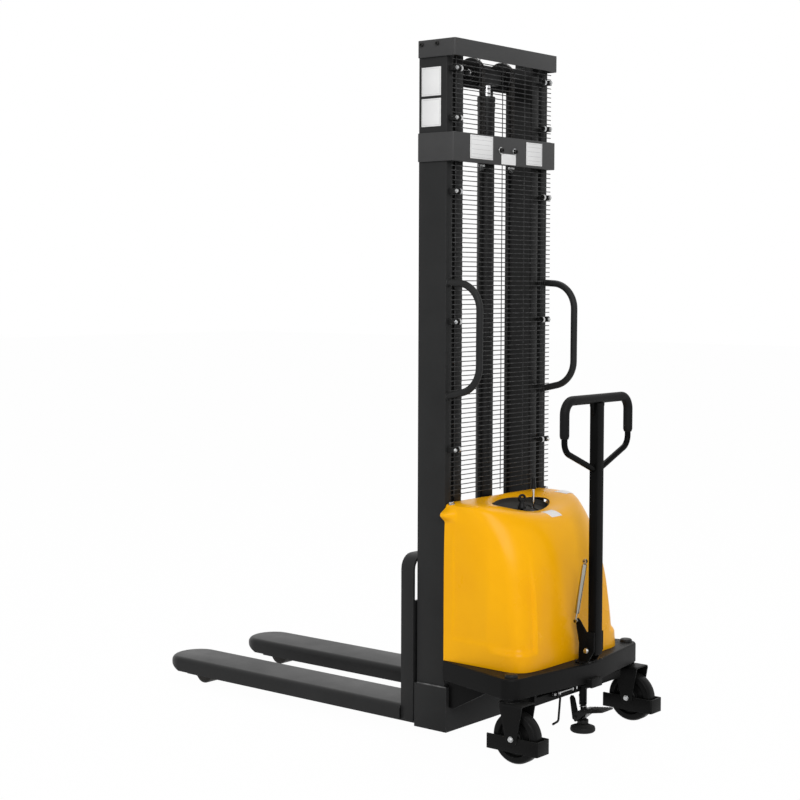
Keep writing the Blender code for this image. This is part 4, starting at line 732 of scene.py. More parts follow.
ANCHOR_SHELF = 0.030
shelf_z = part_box("chain_anchor_beam")[0].z + ANCHOR_SHELF
nuts = bmesh.new()
for side, sign in SIDES:
    x = sign * (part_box("chain_wheel_right")[0].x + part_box("chain_wheel_right")[1].x) / 2
    y = (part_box("chain_rear_" + side)[0].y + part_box("chain_rear_" + side)[1].y) / 2
    for z in (shelf_z - 0.0185, shelf_z - 0.0075):
        hex_bolt(nuts, (x, y, z), (0, 0, 1), 0.017, 0.0065)
    sweep(nuts, [(x, y, shelf_z - ANCHOR_SHELF + 0.0012 * k) for k in range(11)],
          lambda k: 0.0050 - 0.0005 * (k % 2), 20)
made("chain_anchor_nuts", nuts, "chassis", zinc)

# Guide rollers --------------------------------------------------------------------------------
# Sealed steel ball bearings with thick turned outer rings that run in the rails.
# They are pressed on stub axles on the mast and the carriage, and held by circlips.

for name in ("upper_roller_", "lower_roller_", "carriage_roller_lower_", "carriage_roller_upper_"):
    for side, sign in SIDES:
        low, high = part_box(name + side)
        centre = (low + high) / 2
        radius, half = (high.z - low.z) / 2, (high.x - low.x) / 2
        ring = bmesh.new()
        lathe(ring, mirrored([(0.0158, -half), (0.021, -half), (0.0215, -half + 0.0012), (0.029, -half + 0.0012),
                              (0.0295, -half), (radius - 0.0015, -half), (radius, -half + 0.0015)]), centre, "X", 56)
        made(name + side + "_ring", ring, name + side, bright, stands_for=[name + side])

# Carriage and forks ---------------------------------------------------------------------------
# A bent flat bar and a welded plate carry two forks, each pressed from one sheet into a box
# that is open below, with a rounded tip and rolled top edges.

rounded_copy("carriage_frame", "carriage_weldment", 0.0014, powder_coat)
fork_coat = finish("fork_coat", (0.0135, 0.0136, 0.0138), (0.0195, 0.0197, 0.0199), (0.34, 0.46), 900.0, 0.00012,
                   wear=0.5, worn=(0.16, 0.16, 0.165), gleam=0.15)
FORK_DEEP = 0.047
FORK_SHEET = 0.006
FORK_ROLL = 0.018
FORK_TAPER = 0.080
TIP_LIFT = 0.72
HEEL_SETBACK = 0.033
HEEL_NEAR, HEEL_FAR = 0.104, 0.257
ROLL_STEPS = 6


def fork_ring(form, low, high, inset, level):
    """Points round the blade at one level. Near the tip nothing hangs below its sloped edge."""
    middle, half, tip = (low.x + high.x) / 2, (high.x - low.x) / 2 - inset, high.y
    back = low.y + HEEL_SETBACK
    round_y = tip - inset - half * 0.9
    sides = [back + (round_y - back) * k / 8 for k in range(8)]
    plan = [(middle + half, y) for y in sides]
    plan += [(middle + half * cos(pi * k / 36), round_y + half * 0.9 * sin(pi * k / 36)) for k in range(37)]
    plan += [(middle - half, y) for y in reversed(sides)]
    ring = []
    for x, y in plan:
        slope = max(0.0, (y - (tip - FORK_TAPER)) / FORK_TAPER) * FORK_DEEP * TIP_LIFT
        ring.append(form.verts.new((x, y, max(level, low.z + slope))))
    return ring


def pressed_sheet(form, outer, inner):
    """A pressed part open below: rings of its outer and inner face from the edge up, closed on top."""
    for below, above in [*zip(outer, outer[1:]), *zip(inner, inner[1:]), (outer[0], inner[0])]:
        for k in range(len(below)):
            n = (k + 1) % len(below)
            form.faces.new((below[k], below[n], above[n], above[k]))
    form.faces.new(outer[-1])
    form.faces.new(inner[-1])


for side, sign in SIDES:
    low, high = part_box("fork_" + side)
    top = low.z + FORK_DEEP
    blade = bmesh.new()
    faces = []
    for inset, roll in ((0, FORK_ROLL), (FORK_SHEET, FORK_ROLL - FORK_SHEET)):
        stack = [fork_ring(blade, low, high, inset, low.z)]
        for k in range(ROLL_STEPS + 1):
            angle = pi / 2 * k / ROLL_STEPS
            stack.append(fork_ring(blade, low, high, inset + roll * (1 - cos(angle)),
                                   top - FORK_ROLL + roll * sin(angle)))
        faces.append(stack)
    pressed_sheet(blade, *faces)
    made("fork_blade_" + side, blade, "carriage", fork_coat, stands_for=["fork_" + side])

    heel = bmesh.new()
    back = low.y
    near, far = sorted((sign * HEEL_NEAR, sign * HEEL_FAR))
    block(heel, (near, back, top - FORK_SHEET), (far, back + 0.014, high.z))
    block(heel, (near, back + 0.001, top - FORK_SHEET), (far, back + 0.040, top - 0.0003))
    made("fork_heel_" + side, heel, "carriage", fork_coat, 0.002)
    bead = bmesh.new()
    run = [(near + (far - near) * k / 50, back + 0.0155, top + 0.0005) for k in range(51)]
    sweep(bead, run, 0.004, 10, ripple=0.10)
    made("fork_weld_" + side, bead, "carriage", fork_coat)

# Deck -----------------------------------------------------------------------------------------
# A folded plate behind the mast carries the cover and the tiller. Its corners reach over the
# casters, whose stems turn in tubes welded under it, and gussets tie it to the foot.

under_coat = finish("under_coat", (0.0035, 0.0035, 0.0035), (0.0062, 0.0062, 0.0061), (0.40, 0.52), 1000.0, 0.00012,
                    gleam=0.08)
low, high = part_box("deck")
DECK_TOP, DECK_REAR = high.z, low.y
DECK_RIM = 0.058
DECK_SHEET = 0.005
DECK_FOLD = 0.006
DECK_CORNER = 0.043
CORNER_X, CORNER_Y = high.x - 0.044, MAST_REAR - 0.2715


def deck_plan(inset):
    """Straight sides that widen backwards, rounded corners and a shallow point at the rear."""
    radius = DECK_CORNER - inset
    right = [(MAST_HALF + 0.006 - inset, MAST_REAR - 0.0005 - inset)]
    right += [(CORNER_X + radius * cos(a), CORNER_Y + radius * sin(a))
              for a in [0.15 - 1.5 * k / 18 for k in range(19)]]
    return right + [(0.0, DECK_REAR + inset)] + [(-x, y) for x, y in reversed(right)]


deck = bmesh.new()
outside = [(0, DECK_TOP - DECK_RIM)]
outside += [(DECK_FOLD * (1 - cos(pi / 2 * k / 5)), DECK_TOP - DECK_FOLD * (1 - sin(pi / 2 * k / 5)))
            for k in range(6)]
inside = [(DECK_SHEET, DECK_TOP - DECK_RIM), (DECK_SHEET, DECK_TOP - DECK_SHEET)]
pressed_sheet(deck, *[[[deck.verts.new((x, y, z)) for x, y in deck_plan(inset)] for inset, z in stack]
                      for stack in (outside, inside)])
made("deck_plate", deck, "chassis", under_coat, stands_for=["deck"])

under = bmesh.new()
low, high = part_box("caster_cap_right")
SWIVEL_X, SWIVEL_Y = (low.x + high.x) / 2, (low.y + high.y) / 2
HOUSING, HOUSING_BORE, HOUSING_LOW = 0.027, 0.0168, 0.176
GUSSET_LONG, GUSSET_DEEP = 0.175, 0.085
below_deck = DECK_TOP - DECK_SHEET - 0.0002
front = MAST_REAR - 0.0126
rim = DECK_TOP - DECK_RIM
for side, sign in SIDES:
    lathe(under, [(HOUSING_BORE, HOUSING_LOW), (HOUSING, HOUSING_LOW), (HOUSING, below_deck),
                  (HOUSING_BORE, below_deck), (HOUSING_BORE, HOUSING_LOW)], (sign * SWIVEL_X, SWIVEL_Y, 0), "Z", 48)
    x = sign * (MAST_HALF - 0.011)
    slab(under, [(front, below_deck), (front, rim - GUSSET_DEEP), (front - 0.020, rim - GUSSET_DEEP),
                 (front - GUSSET_LONG, rim), (front - GUSSET_LONG, below_deck)], "YZ", x - 0.003, x + 0.003)
made("deck_stiffeners", under, "chassis", under_coat, 0.0008)
rounded_copy("caster_crossbar", "caster_tie_bar", 0.0016, under_coat, 3)
bar_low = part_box("caster_crossbar")[0]
stay = bmesh.new()
stay_y, stay_z = bar_low.y - 0.011, 0.170
thread = [(0.0046 - 0.0006 * (k % 2), 0.0012 * k) for k in range(21)]
lathe(stay, [(0, -0.155), *[(r, -0.155 + z) for r, z in thread], (0.0036, -0.130), (0.0036, -0.058),
             *[(r, -0.057 + z) for r, z in thread], (0, -0.032)], (0, stay_y, stay_z), "X", 20)
for x in (-0.150, -0.128, -0.060, -0.040):
    lathe(stay, [(0.0030, x - 0.0025), (0.0078, x - 0.0025), (0.0078, x + 0.0025), (0.0030, x + 0.0025)],
          (0, stay_y, stay_z), "X", 6)
made("lock_stay_rod", stay, "chassis", zinc)
tabs = bmesh.new()
for x in (-0.144, -0.050):
    block(tabs, (x - 0.002, stay_y - 0.010, stay_z - 0.010), (x + 0.002, bar_low.y + 0.0005, stay_z + 0.010))
made("stay_tabs", tabs, "chassis", under_coat, 0.0004)

# Casters --------------------------------------------------------------------------------------
# Each fork is one strip bent over the wheel, on a ball race, with a foot guard welded round it.
# The wheel is black nylon with a rubbery tread, on a zinc plated axle bolt.

nylon = finish("caster_nylon", (0.003, 0.003, 0.003), (0.007, 0.007, 0.007), (0.28, 0.42), 500.0, 0.00015, (1, 1, 1),
               14.0, wear=0.5, worn=(0.09, 0.09, 0.09), gleam=0.08)
cap_plastic = finish("cap_plastic", (0.005, 0.005, 0.005), (0.010, 0.010, 0.010), (0.35, 0.5), 800.0, 0.0001,
                     wear=0.1)
FORK_BEND = 0.009
EYE_ROUND = 0.020
GUARD_SHEET, GUARD_FOLD, GUARD_TALL = 0.0055, 0.006, 0.043
CAP = 0.019
fork_top = HOUSING_LOW - 0.002


def quarter(steps):
    """A quarter of a bend in steps, as its shares of the radius along the two legs."""
    return [(1 - cos(pi / 2 * k / steps), 1 - sin(pi / 2 * k / steps)) for k in range(steps + 1)]


for side, sign in SIDES:
    low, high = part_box("caster_wheel_" + side)
    x, wheel_y = (low.x + high.x) / 2, (low.y + high.y) / 2
    radius, tread_half = (high.z - low.z) / 2, (high.x - low.x) / 2
    wheel = bmesh.new()
    wide = tread_half - 0.002
    profile = [(0.0082, tread_half), (0.021, tread_half), (0.0235, tread_half - 0.002), (0.0255, tread_half - 0.010),
               (0.050, tread_half - 0.011), (0.0535, tread_half - 0.0035), (0.055, wide), (radius - 0.010, wide),
               (radius - 0.005, wide - 0.0015), (radius - 0.0012, wide - 0.006), (radius, wide - 0.011)]
    lathe(wheel, mirrored(profile), (x, wheel_y, radius), "X", 96)
    made("caster_tyre_" + side, wheel, "caster_wheel_" + side, nylon, stands_for=["caster_wheel_" + side])

    swivel = "caster_swivel_" + side
    f_low, f_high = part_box("caster_fork_" + side)
    fork_half = (f_high.x - f_low.x) / 2 - 0.007
    path = [(-fork_half, radius + 0.002 * k - EYE_ROUND) for k in range(11)]
    path += [(-fork_half, fork_top - FORK_BEND - 0.02)]
    path += [(-fork_half + FORK_BEND * c, fork_top - FORK_BEND * s) for c, s in quarter(6)]
    path += [(-px, pz) for px, pz in reversed(path)]
    sheet = bmesh.new()
    rows = []
    for px, pz in path:
        if pz < radius:
            reach = sqrt(max(0.0, EYE_ROUND ** 2 - (pz - radius) ** 2))
            front, back = wheel_y + reach, wheel_y - reach
        else:
            share = min(1.0, (pz - radius) / (fork_top - FORK_BEND - radius))
            front = wheel_y + EYE_ROUND + 0.022 * share
            back = wheel_y - EYE_ROUND - 0.016 * share
        rows.append([sheet.verts.new((x + px, front + (back - front) * k / 6, pz)) for k in range(7)])
    for a, b in zip(rows, rows[1:]):
        for k in range(6):
            sheet.faces.new((a[k], a[k + 1], b[k + 1], b[k]))
    bmesh.ops.remove_doubles(sheet, verts=sheet.verts, dist=1e-5)
    bmesh.ops.solidify(sheet, geom=sheet.faces[:], thickness=0.004)
    made("caster_fork_sheet_" + side, sheet, swivel, under_coat, 0.0008, stands_for=["caster_fork_" + side])

    race = bmesh.new()
    lathe(race, [(0, fork_top - 0.003), (0.0155, fork_top - 0.003), (0.0155, fork_top + 0.0002),
                 (0.029, fork_top + 0.0002), (0.030, fork_top + 0.0008), (0.029, fork_top + 0.0017),
                 (0.0158, fork_top + 0.0017), (0.0158, DECK_TOP - 0.010), (0.014, DECK_TOP - 0.009),
                 (0, DECK_TOP - 0.009)],
          (x, SWIVEL_Y, 0), "Z", 48)
    block(race, (x - fork_half + 0.006, wheel_y + 0.030, fork_top - 0.0045),
          (x + fork_half - 0.006, SWIVEL_Y + 0.026, fork_top - 0.0002))
    made("caster_race_" + side, race, swivel, black_oxide)

    guard_half = fork_half - 0.0032
    back, front = f_low.y, f_high.y
    inner = guard_half - GUARD_SHEET
    bar = bmesh.new()
    slab(bar, [(x - guard_half, front),
               *[(x - guard_half + GUARD_FOLD * c, back + GUARD_FOLD * s) for c, s in quarter(4)],
               *[(x + guard_half - GUARD_FOLD * s, back + GUARD_FOLD * c) for c, s in quarter(4)],
               (x + guard_half, front), (x + inner, front), (x + inner, back + GUARD_SHEET),
               (x - inner, back + GUARD_SHEET), (x - inner, front)], "XY", f_low.z, f_low.z + GUARD_TALL)
    made("caster_foot_guard_" + side, bar, swivel, under_coat, 0.0009)

    bolt = bmesh.new()
    for end in (-1, 1):
        hex_bolt(bolt, (x + end * fork_half, wheel_y, radius), (end, 0, 0), 0.0125, 0.0050, 0.0085)
    lathe(bolt, [(0.0078, -fork_half), (0.0078, fork_half)], (x, wheel_y, radius), "X", 24)
    made("caster_axle_bolt_" + side, bolt, swivel, zinc)

    low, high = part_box("caster_cap_" + side)
    cap = bmesh.new()
    lathe(cap, [(0, low.z), (CAP, low.z), (CAP, low.z + 0.0055), (CAP - 0.001, high.z - 0.0025),
                (CAP - 0.004, high.z - 0.0006), (CAP - 0.009, high.z), (0, high.z)], (x, SWIVEL_Y, 0), "Z", 48)
    made("caster_cover_cap_" + side, cap, "chassis", cap_plastic, stands_for=["caster_cap_" + side])

# Floor lock -----------------------------------------------------------------------------------
# A foot brake between the casters: a guide under the deck, a plunger that a ribbed pedal pushes
# down on its rubber foot, a spring round it, and a hooked rod that lets it go.

rounded_copy("floor_lock_housing", "lock_bracket", 0.0014, under_coat)
plunger_low, plunger_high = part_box("floor_lock_plunger")
pad_low, pad_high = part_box("floor_lock_pad")
lock_y = (pad_low.y + pad_high.y) / 2
lock = bmesh.new()
lathe(lock, [(0, 0.0545), (0.015, 0.0545), (0.017, 0.056), (0.017, 0.066), (0.013, 0.069), (0.0075, 0.070),
             (0.0075, plunger_high.z - 0.001), (0.0065, plunger_high.z), (0, plunger_high.z)],
      (0, lock_y, 0), "Z", 40)
slab(lock, [(lock_y + 0.012, 0.092), (lock_y - 0.006, 0.100), (plunger_low.y + 0.002, 0.1108),
            (plunger_low.y, 0.1095), (plunger_low.y, 0.1055), (lock_y - 0.030, 0.094), (lock_y + 0.006, 0.064),
            (lock_y + 0.012, 0.064)], "YZ", -0.0295, 0.0295)
PEDAL_RIBS, RIB_PITCH, PEDAL_SLOPE = 7, 0.0085, 0.137
for rib in range(PEDAL_RIBS):
    y = plunger_low.y + 0.008 + rib * RIB_PITCH
    z = 0.1113 - (y - plunger_low.y) * PEDAL_SLOPE
    block(lock, (-0.026, y - 0.0016, z - 0.002), (0.026, y + 0.0016, z + 0.0013))
made("lock_plunger_and_pedal", lock, "floor_lock_foot", black_oxide, 0.0008, stands_for=["floor_lock_plunger"])
LINK_SHEET = 0.004
links = bmesh.new()
for x in (-0.0265, 0.0225):
    slab(links, [(lock_y + 0.012, 0.066), (lock_y + 0.020, 0.070), (lock_y + 0.030, 0.132), (lock_y + 0.026, 0.140),
                 (lock_y + 0.018, 0.140), (lock_y + 0.012, 0.132), (lock_y - 0.002, 0.078)], "YZ", x, x + LINK_SHEET)
    end = 1 if x > 0 else -1
    hex_bolt(links, (x + (LINK_SHEET if x > 0 else 0.0), lock_y + 0.006, 0.080), (end, 0, 0), 0.010, 0.004)
made("lock_links", links, "floor_lock_foot", under_coat, 0.0006)
foot = bmesh.new()
lathe(foot, [(0, pad_low.z), (0.034, pad_low.z), (0.037, pad_low.z + 0.003), (0.0378, pad_low.z + 0.008),
             (0.036, pad_low.z + 0.0145), (0.030, pad_low.z + 0.017), (0.022, pad_low.z + 0.019), (0.018, pad_high.z),
             (0, pad_high.z)],
      (0, lock_y, 0), "Z", 56)
made("lock_rubber_foot", foot, "floor_lock_foot", rubber, stands_for=["floor_lock_pad"])
coil = bmesh.new()
SPRING, SPRING_LOW, SPRING_LONG, TURNS, TURN_STEPS = 0.0100, 0.103, 0.0385, 6, 20
sweep(coil, [(SPRING * cos(2 * pi * k / TURN_STEPS), lock_y + SPRING * sin(2 * pi * k / TURN_STEPS),
              SPRING_LOW + SPRING_LONG * k / (TURNS * TURN_STEPS)) for k in range(TURNS * TURN_STEPS + 1)], 0.0011, 8)
made("lock_spring", coil, "floor_lock_foot", zinc)
rod_low, rod_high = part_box("floor_lock_release")
hook_x, hook_y = (rod_low.x + rod_high.x) / 2, rod_low.y + 0.0035
hook = bmesh.new()
sweep(hook, bent([(hook_x, hook_y, rod_high.z - 0.0005), (hook_x, hook_y, 0.120), (hook_x, hook_y + 0.006, 0.048),
                  (hook_x, rod_high.y - 0.001, 0.0345)], 0.014, 8), 0.0034, 16)
made("lock_release_rod", hook, "release_lever", black_oxide, stands_for=["floor_lock_release"])

# Tiller ---------------------------------------------------------------------------------------
# A rectangular steel tube on a cross pin between two cheeks, with a bent tube loop welded on top.
# A soft black grip covers the top of the loop. Four small screws hold the cheeks to the deck.

tiller_coat = finish("tiller_coat", (0.0028, 0.0028, 0.0028), (0.0050, 0.0050, 0.0050), (0.26, 0.36), 1100.0, 0.0001,
                     gleam=0.03)
rounded_copy("tiller_bracket", "tiller_cheeks", 0.0012, tiller_coat)
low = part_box("tiller")[0]
bracket_low, bracket_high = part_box("tiller_bracket")
PIVOT = Vector((0, MAST_REAR - 0.349, DECK_TOP + 0.038))
TILLER_Y = MAST_REAR - 0.3625
ARM_HALF_X, ARM_HALF_Y = 0.019, 0.01375
arm_top = PIVOT.z + 0.733
arm = bmesh.new()
block(arm, (-ARM_HALF_X, TILLER_Y - ARM_HALF_Y, low.z), (ARM_HALF_X, TILLER_Y + ARM_HALF_Y, arm_top))
made("tiller_tube", arm, "tiller_arm", tiller_coat, 0.0032, 4, stands_for=["tiller"])
knee = bmesh.new()
block(knee, (-ARM_HALF_X + 0.001, TILLER_Y - 0.005, low.z + 0.001),
      (ARM_HALF_X - 0.001, PIVOT.y + 0.013, low.z + 0.041))
made("tiller_knuckle", knee, "tiller_arm", tiller_coat, 0.004, 4)

LOOP = 0.0090
GRIP = 0.0140
loop_top = PIVOT.z + 0.746
loop_half = 0.172
LOOP_BEND, LOOP_STRAIGHT, LOOP_TALL = 0.040, 0.145, 0.208
line = bent([(x, TILLER_Y, loop_top - down) for x, down in (
    (-0.015, LOOP_TALL), (-loop_half, LOOP_STRAIGHT), (-loop_half, 0.0),
    (loop_half, 0.0), (loop_half, LOOP_STRAIGHT), (0.015, LOOP_TALL))], LOOP_BEND, 14)
loop = bmesh.new()
sweep(loop, line, LOOP, 24)
made("handle_loop", loop, "tiller_arm", tiller_coat)
grip_low = line[0].z + 0.100
sleeve = [p for p in line if p.z > grip_low + 0.006]
sleeve = [Vector((-loop_half, TILLER_Y, grip_low))] + sleeve + [Vector((loop_half, TILLER_Y, grip_low))]
dense = []
for a, b in zip(sleeve, sleeve[1:]):
    parts = max(1, int((b - a).length / 0.004))
    dense += [a + (b - a) * k / parts for k in range(parts)]
dense.append(sleeve[-1])
grips = bmesh.new()
ends = len(dense) - 1
sweep(grips, dense, lambda k: GRIP - 0.0025 * max(0.0, 1 - min(k, ends - k) / 2.0), 28)
grip_rubber = finish("grip_rubber", (0.004, 0.004, 0.004), (0.008, 0.008, 0.008), (0.48, 0.62), 650.0, 0.0002,
                     wear=0.15, gleam=0.1)
made("soft_grip", grips, "tiller_arm", grip_rubber, stands_for=["handle_grip"])
web = bmesh.new()
slab(web, [(x, loop_top - down) for x, down in (
    (-0.034, 0.010), (-0.034, 0.020), (-0.0195, 0.052), (0.0195, 0.052), (0.034, 0.020), (0.034, 0.010))],
     "XZ", TILLER_Y - 0.0045, TILLER_Y + 0.0045)
made("loop_gusset", web, "tiller_arm", tiller_coat, 0.0012)
bolts = bmesh.new()
for end in (-1, 1):
    hex_bolt(bolts, (end * 0.0262, PIVOT.y, PIVOT.z), (end, 0, 0), 0.013, 0.0045, 0.0085)
made("tiller_pivot_nuts", bolts, "tiller_arm", zinc)
cross_pin = bmesh.new()
lathe(cross_pin, [(0.006, -0.030), (0.006, 0.030)], PIVOT, "X", 24)
made("tiller_pin", cross_pin, "tiller_arm", zinc)
fixings = bmesh.new()
for end in (-1, 1):
    for y in (bracket_low.y + 0.012, bracket_high.y - 0.008):
        hex_bolt(fixings, (end * 0.033, y, bracket_low.z + 0.0041), (0, 0, 1), 0.0085, 0.0040)
made("bracket_screws", fixings, "chassis", black_oxide)

# Gas strut ------------------------------------------------------------------------------------
# A slim polished steel cylinder and rod that stand the tiller up again when it is let go.
# Its two eyes turn on studs, one low on the truck and one part way up the tiller.

STRUT_FOOT = Vector((-0.0375, MAST_REAR - 0.3177, DECK_TOP + 0.124))
STRUT_HEAD = Vector((-0.0375, MAST_REAR - 0.3494, DECK_TOP + 0.3055))
length = (STRUT_HEAD - STRUT_FOOT).length
lean = facing(STRUT_HEAD - STRUT_FOOT)
polished = finish("strut_steel", (0.30, 0.29, 0.25), (0.42, 0.40, 0.35), (0.10, 0.20), 700.0, 0.00003, (1, 1, 8),
                  12.0, metal=1.0, wear=0.2)
barrel = bmesh.new()
lathe(barrel, [(0.0040, 0.0245), (0.0060, 0.0245), (0.0072, 0.0265), (0.0072, length - 0.013),
               (0.0062, length - 0.009), (0.0034, length - 0.007),
               (0, length - 0.007)], STRUT_FOOT, steps=32, turn=lean)
lathe(barrel, mirrored([(0.0036, -0.004), (0.0066, -0.004), (0.0070, -0.0034)]), STRUT_HEAD, "X", 32)
made("strut_cylinder", barrel, "gas_strut_barrel", polished, stands_for=["strut_barrel"])
slim = bmesh.new()
lathe(slim, [(0, 0.004), (0.0028, 0.004), (0.0028, length - 0.016), (0, length - 0.016)], STRUT_FOOT, steps=24,
      turn=lean)
lathe(slim, mirrored([(0.0041, -0.0035), (0.0062, -0.0035), (0.0065, -0.003)]), STRUT_FOOT, "X", 32)
made("strut_piston", slim, "gas_strut_rod", polished, stands_for=["strut_rod"])

# Power pack -----------------------------------------------------------------------------------
# Under the cover: a battery in a moulded case, the oil tank with its pump block, the motor on it
# and the steel pipe to the cylinder. They show through the mast and when the cover is off.

case_plastic = finish("battery_case", (0.008, 0.008, 0.008), (0.016, 0.016, 0.016), (0.45, 0.6), 420.0, 0.0003,
                      wear=0.2)
tank_paint = finish("tank_paint", (0.010, 0.010, 0.010), (0.020, 0.020, 0.020), (0.32, 0.45), 700.0, 0.0002, wear=0.5,
                    worn=(0.2, 0.2, 0.2))
rounded_copy("battery", "battery_case", 0.0045, case_plastic, 3)
low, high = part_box("battery")
fittings = bmesh.new()
for x in (low.x + 0.035, high.x - 0.035):
    lathe(fittings, [(0.0140, 0), (0.0140, 0.004), (0.0100, 0.006), (0.0092, 0.022), (0.0080, 0.0235), (0, 0.0235)],
          (x, high.y - 0.030, high.z), steps=28)
CELL_CAPS = 6
for k in range(CELL_CAPS):
    x = low.x + 0.030 + k * (high.x - low.x - 0.060) / (CELL_CAPS - 1)
    lathe(fittings, [(0.0105, 0), (0.0105, 0.003), (0.0085, 0.0045), (0.0040, 0.0045), (0.0040, 0.0032), (0, 0.0032)],
          (x, low.y + 0.060, high.z), steps=24)
made("battery_fittings", fittings, "chassis", cap_plastic)
rounded_copy("oil_tank", "hydraulic_tank", 0.0020, tank_paint)
low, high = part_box("oil_tank")
filler = bmesh.new()
lathe(filler, [(0.020, 0), (0.020, 0.006), (0.017, 0.008), (0.017, 0.018), (0.0155, 0.020), (0, 0.020)],
      (low.x + 0.032, low.y + 0.030, high.z - 0.0553), steps=40)
made("tank_filler", filler, "chassis", cap_plastic)
low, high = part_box("pump_motor")
centre = (low + high) / 2
MOTOR, MOTOR_GROOVE = 0.0550, 0.0535
ribs = []
for k in range(15):
    z = low.z + 0.018 + k * 0.0075
    ribs += [(MOTOR, z), (MOTOR, z + 0.0045), (MOTOR_GROOVE, z + 0.0050), (MOTOR_GROOVE, z + 0.0070)]
motor = bmesh.new()
lathe(motor, [(0, low.z), (0.041, low.z), (0.0545, low.z + 0.0095), (MOTOR, low.z + 0.0105), *ribs,
              (MOTOR, high.z - 0.010), (0.0505, high.z - 0.001), (0.046, high.z), (0.020, high.z),
              (0.018, high.z - 0.002), (0, high.z - 0.002)],
      (centre.x, centre.y, 0), steps=64)
made("motor_body", motor, "chassis", tank_paint, stands_for=["pump_motor"])
pipe_metal = finish("pipe_metal", (0.030, 0.030, 0.030), (0.06, 0.06, 0.06), (0.26, 0.38), 600.0, 0.0001, metal=0.7,
                    wear=0.3)
rounded_copy("lift_pipe", "steel_oil_pipe", 0.0, pipe_metal)

# Cover ----------------------------------------------------------------------------------------
# One moulding of glossy amber plastic over the power pack, boxy at the deck and rounder higher up.
# It has a scooped field on each rear corner, a dish round the control panel, and a flared lug at
# each front corner, where a plated bolt holds it.

COVER_FRONT = MAST_REAR - 0.0015
COVER_HALF = MAST_HALF + 0.001
COVER_BULGE = 0.024
COVER_TALL = 0.470
SKIN = 0.0037
SCOOP, FIELD, LUG_FLARE, SHOULDER_SAG = 0.0095, 0.0024, 0.025, 0.006
PROFILE = ((0.2905, 0.0003, 0.0, 7.5), (0.2885, 0.12, 0.0, 6.0), (0.2825, 0.24, 0.0, 4.2), (0.2650, 0.34, 0.001, 3.1),
           (0.2360, 0.405, 0.003, 2.8), (0.1980, 0.442, 0.006, 3.0), (0.1500, 0.462, 0.009, 3.8),
           (0.1150, 0.468, 0.010, 4.4), (0.0850, 0.469, 0.011, 5.0), (0.0450, 0.470, 0.014, 5.0),
           (0.0, COVER_TALL, 0.018, 5.0))
PANEL = Vector((-0.007, COVER_FRONT - 0.0965, DECK_TOP + 0.431))
PANEL_LONG, PANEL_SHORT, PANEL_SLOPE = 0.128, 0.058, 0.33
DISH = Vector((-0.004, COVER_FRONT - 0.1165))
DISH_LONG, DISH_SHORT, DISH_DEEP = 0.205, 0.125, 0.033


def soft(value, start, end):
    """0 at start, 1 at end, and a smooth change between."""
    share = max(0.0, min(1.0, (value - start) / (end - start)))
    return share * share * (3 - 2 * share)


def curve_through(rows, place_on):
    """A smooth value through a list of rows, at a whole or fractional row number."""
    last = len(rows) - 1
    first = min(int(place_on), last - 1)
    share = place_on - first
    a, b, c, d = (rows[max(0, min(last, first + k))] for k in (-1, 0, 1, 2))
    return [q + 0.5 * share * (r - p + share * (2 * p - 5 * q + 4 * r - s + share * (3 * (q - r) + s - p)))
            for p, q, r, s in zip(a, b, c, d)]


def moulded(point, out):
    """The sculpting of the shell: how the plain form is pushed in or drawn out at a point."""
    x, y, z = point
    side = -1 if x < 0 else 1
    back = COVER_FRONT - y
    up = z - DECK_TOP
    degrees_round = -degrees(atan2(y - (COVER_FRONT - 0.1165), abs(x) - 0.12))
    scoop = soft(degrees_round, 14, 36) * (1 - soft(degrees_round, 63, 67))
    scoop *= soft(up, 0.046, 0.066) * (1 - soft(up, 0.20, 0.36))
    field = soft(back, 0.030, 0.040) * (1 - soft(back, 0.17, 0.22)) * soft(abs(x), 0.235, 0.250)
    field *= soft(up, 0.062, 0.078) * (1 - soft(up, 0.32, 0.42))
    push = -SCOOP * scoop - FIELD * field
    lug = soft(abs(x), 0.205, 0.245) * (1 - soft(back, 0.010, 0.048))
    lug *= soft(up, 0.412, 0.440) * (1 - soft(up, 0.443, 0.466))
    sag = SHOULDER_SAG * soft(abs(x), 0.228, 0.262) * soft(up, 0.40, 0.465)
    return point + out * push + Vector((side * LUG_FLARE * lug, 0, -sag))


def moulded_top(point):
    """The dish round the control panel."""
    reach = ((point.x - DISH.x) / DISH_LONG) ** 2 + ((point.y - DISH.y) / DISH_SHORT) ** 2
    over = soft(point.z - DECK_TOP, 0.38, 0.43)
    return Vector((0, 0, -DISH_DEEP * max(0.0, 1 - reach) ** 2 * over))


def even_rows(count, samples=900):
    """Rows of the profile, equally spaced along its curve."""
    fine = [curve_through(PROFILE, (len(PROFILE) - 1) * k / samples) for k in range(samples + 1)]
    run = [0.0]
    for last, row in zip(fine, fine[1:]):
        run.append(run[-1] + hypot(row[0] - last[0], row[1] - last[1]))
    picked, k = [], 0
    for step in range(count + 1):
        while k < samples and run[k] < run[-1] * step / count - 1e-9:
            k += 1
        picked.append(fine[k])
    return picked


